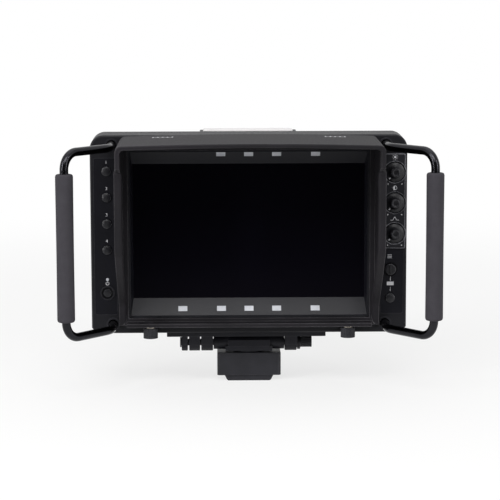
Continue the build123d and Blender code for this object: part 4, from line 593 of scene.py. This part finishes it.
# Roof marks: two short printed scales near the back of the hood's roof, one each side, of
# a line and five ticks in mm. Each is laid down on the bent roof from above.
ROOF_MARK_X, ROOF_MARK_Y = 62.2, -44.0
SCALE_LINE = (0, 14.0, 0.9)
SCALE_TICKS = tuple((step * 3.5, 1.0, 4.5) for step in (-2, -1, 0, 1, 2))
ABOVE_ROOF = 0.3
for side, label in ((-1, "left"), (1, "right")):
    bars = []
    bpy.ops.object.select_all(action="DESELECT")
    for offset, width, height in (SCALE_LINE,) + SCALE_TICKS:
        bpy.ops.mesh.primitive_grid_add(x_subdivisions=6, y_subdivisions=2, size=1.0)
        bar = bpy.context.object
        spot = ((side * ROOF_MARK_X + offset) / 1000, (ROOF_MARK_Y + height / 2) / 1000, ABOVE_ROOF)
        bar.matrix_world = Matrix.Translation(spot) @ Matrix.Diagonal((width / 1000, height / 1000, 1, 1))
        bars.append(bar)
    scale_print = join_marks(f"{label}_roof_print", bars)
    for corner in scale_print.data.vertices:
        found, spot, facing, face = nodes["hood_top"].ray_cast(corner.co, Vector((0, 0, -1)))
        corner.co.z = spot.z + INK_PROUD
    bpy.ops.object.mode_set(mode="EDIT")
    bpy.ops.mesh.select_mode(type="VERT")
    bpy.ops.mesh.select_all(action="SELECT")
    bpy.ops.mesh.extrude_region_move(TRANSFORM_OT_translate={"value": (0, 0, -INK_DEPTH)})
    face_outward()
    scale_print.data.materials.append(ink)
    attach(scale_print, "display")

# Thumbscrew collars: turned, nickel-plated brass rings between the knurled heads and the
# hood's ledge. Each is a bright ring with a broken edge, pressed on its screw.
nickel = surface("nickel_plated_brass", "#cfc6b6", "#dad3c6", patch_mm=4, grain_mm=0.4, grain_depth=0.005,
                 rough=0.22, metallic=1.0)
COLLAR_RADIUS, COLLAR_HOLE, COLLAR_HEIGHT = 3.45, 2.6, 1.18
COLLAR_EDGE = 0.00018
HEAD_HEIGHT, COLLAR_LIFT = 7.2, 0.01
for side in ("left", "right"):
    low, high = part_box(f"hood_screw_{side}")
    middle = ((low[0] + high[0]) / 2, (low[1] + high[1]) / 2)
    foot = low[2] + (HEAD_HEIGHT + COLLAR_LIFT) / 1000
    bpy.ops.object.select_all(action="DESELECT")
    bpy.ops.mesh.primitive_cylinder_add(vertices=64, radius=COLLAR_RADIUS / 1000, depth=COLLAR_HEIGHT / 1000,
                                        location=(middle[0], middle[1], foot + COLLAR_HEIGHT / 2000))
    collar = named(f"{side}_screw_collar")
    bpy.ops.object.transform_apply(location=True, rotation=True, scale=True)
    select_faces(collar, lambda face: abs(face.normal.z) > 0.9)
    bpy.ops.mesh.inset(thickness=(COLLAR_RADIUS - COLLAR_HOLE) / 1000)
    bpy.ops.mesh.delete(type="FACE")
    bpy.ops.mesh.select_mode(type="VERT")
    bpy.ops.mesh.select_all(action="DESELECT")
    bpy.ops.mesh.select_non_manifold()
    bpy.ops.mesh.bridge_edge_loops()
    face_outward()
    soften = collar.modifiers.new("broken_edges", "BEVEL")
    soften.width = COLLAR_EDGE
    soften.segments = 2
    soften.limit_method = "ANGLE"
    bpy.ops.object.modifier_apply(modifier=soften.name)
    bpy.ops.object.shade_smooth_by_angle(angle=radians(35))
    collar.data.materials.append(nickel)
    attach(collar, f"hood_screw_{side}")

# Hand rails: bent steel rod, polished and finished in black chrome, which mirrors darkly.
rod = surface("black_chromed_steel", "#2a2a2d", "#323235", patch_mm=12, grain_mm=0.6, grain_depth=0.01,
              rough=0.22, metallic=1.0)
finish_nodes(("left_handle", "right_handle"), rod)

# Grips: closed-cell foam sleeves pushed over the rods, with moulded round ends and a slight
# waist. The profile gives radius and height in mm from the sleeve's foot.
GRIP_PROFILE = ((3.2, 0.0), (4.6, 0.0), (5.5, 0.25), (6.1, 0.9), (6.32, 1.9), (6.3, 12), (6.24, 30),
                (6.2, 52.8), (6.24, 76), (6.3, 94), (6.32, 103.7), (6.1, 104.7), (5.5, 105.35), (4.6, 105.6),
                (3.2, 105.6))
foam = surface("closed_cell_foam", "#3b393e", "#3f3d42", patch_mm=10, grain_mm=0.8, grain_depth=0.25,
               rough=0.85, specular=0.2)
for side in ("left", "right"):
    low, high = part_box(f"{side}_grip")
    middle_x, middle_y = (low[0] + high[0]) / 2, (low[1] + high[1]) / 2
    bpy.ops.object.select_all(action="DESELECT")
    bpy.ops.mesh.primitive_circle_add(vertices=72, radius=GRIP_PROFILE[0][0] / 1000,
                                      location=(middle_x, middle_y, low[2]))
    sleeve = named(f"{side}_foam_grip")
    bpy.ops.object.transform_apply(location=True, rotation=True, scale=True)
    bpy.ops.object.mode_set(mode="EDIT")
    bpy.ops.mesh.select_mode(type="VERT")
    bpy.ops.mesh.select_all(action="SELECT")
    for (radius, height), (wider, higher) in zip(GRIP_PROFILE, GRIP_PROFILE[1:]):
        bpy.ops.mesh.extrude_region_move(TRANSFORM_OT_translate={"value": (0, 0, (higher - height) / 1000)})
        bpy.ops.transform.resize(value=(wider / radius, wider / radius, 1),
                                 center_override=(middle_x, middle_y, low[2]))
    bpy.ops.mesh.select_all(action="DESELECT")
    bpy.ops.mesh.select_non_manifold()
    bpy.ops.mesh.bridge_edge_loops()
    face_outward()
    bpy.ops.object.shade_smooth_by_angle(angle=radians(40))
    sleeve.data.materials.append(foam)
    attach(sleeve, "display")
    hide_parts(f"{side}_grip")
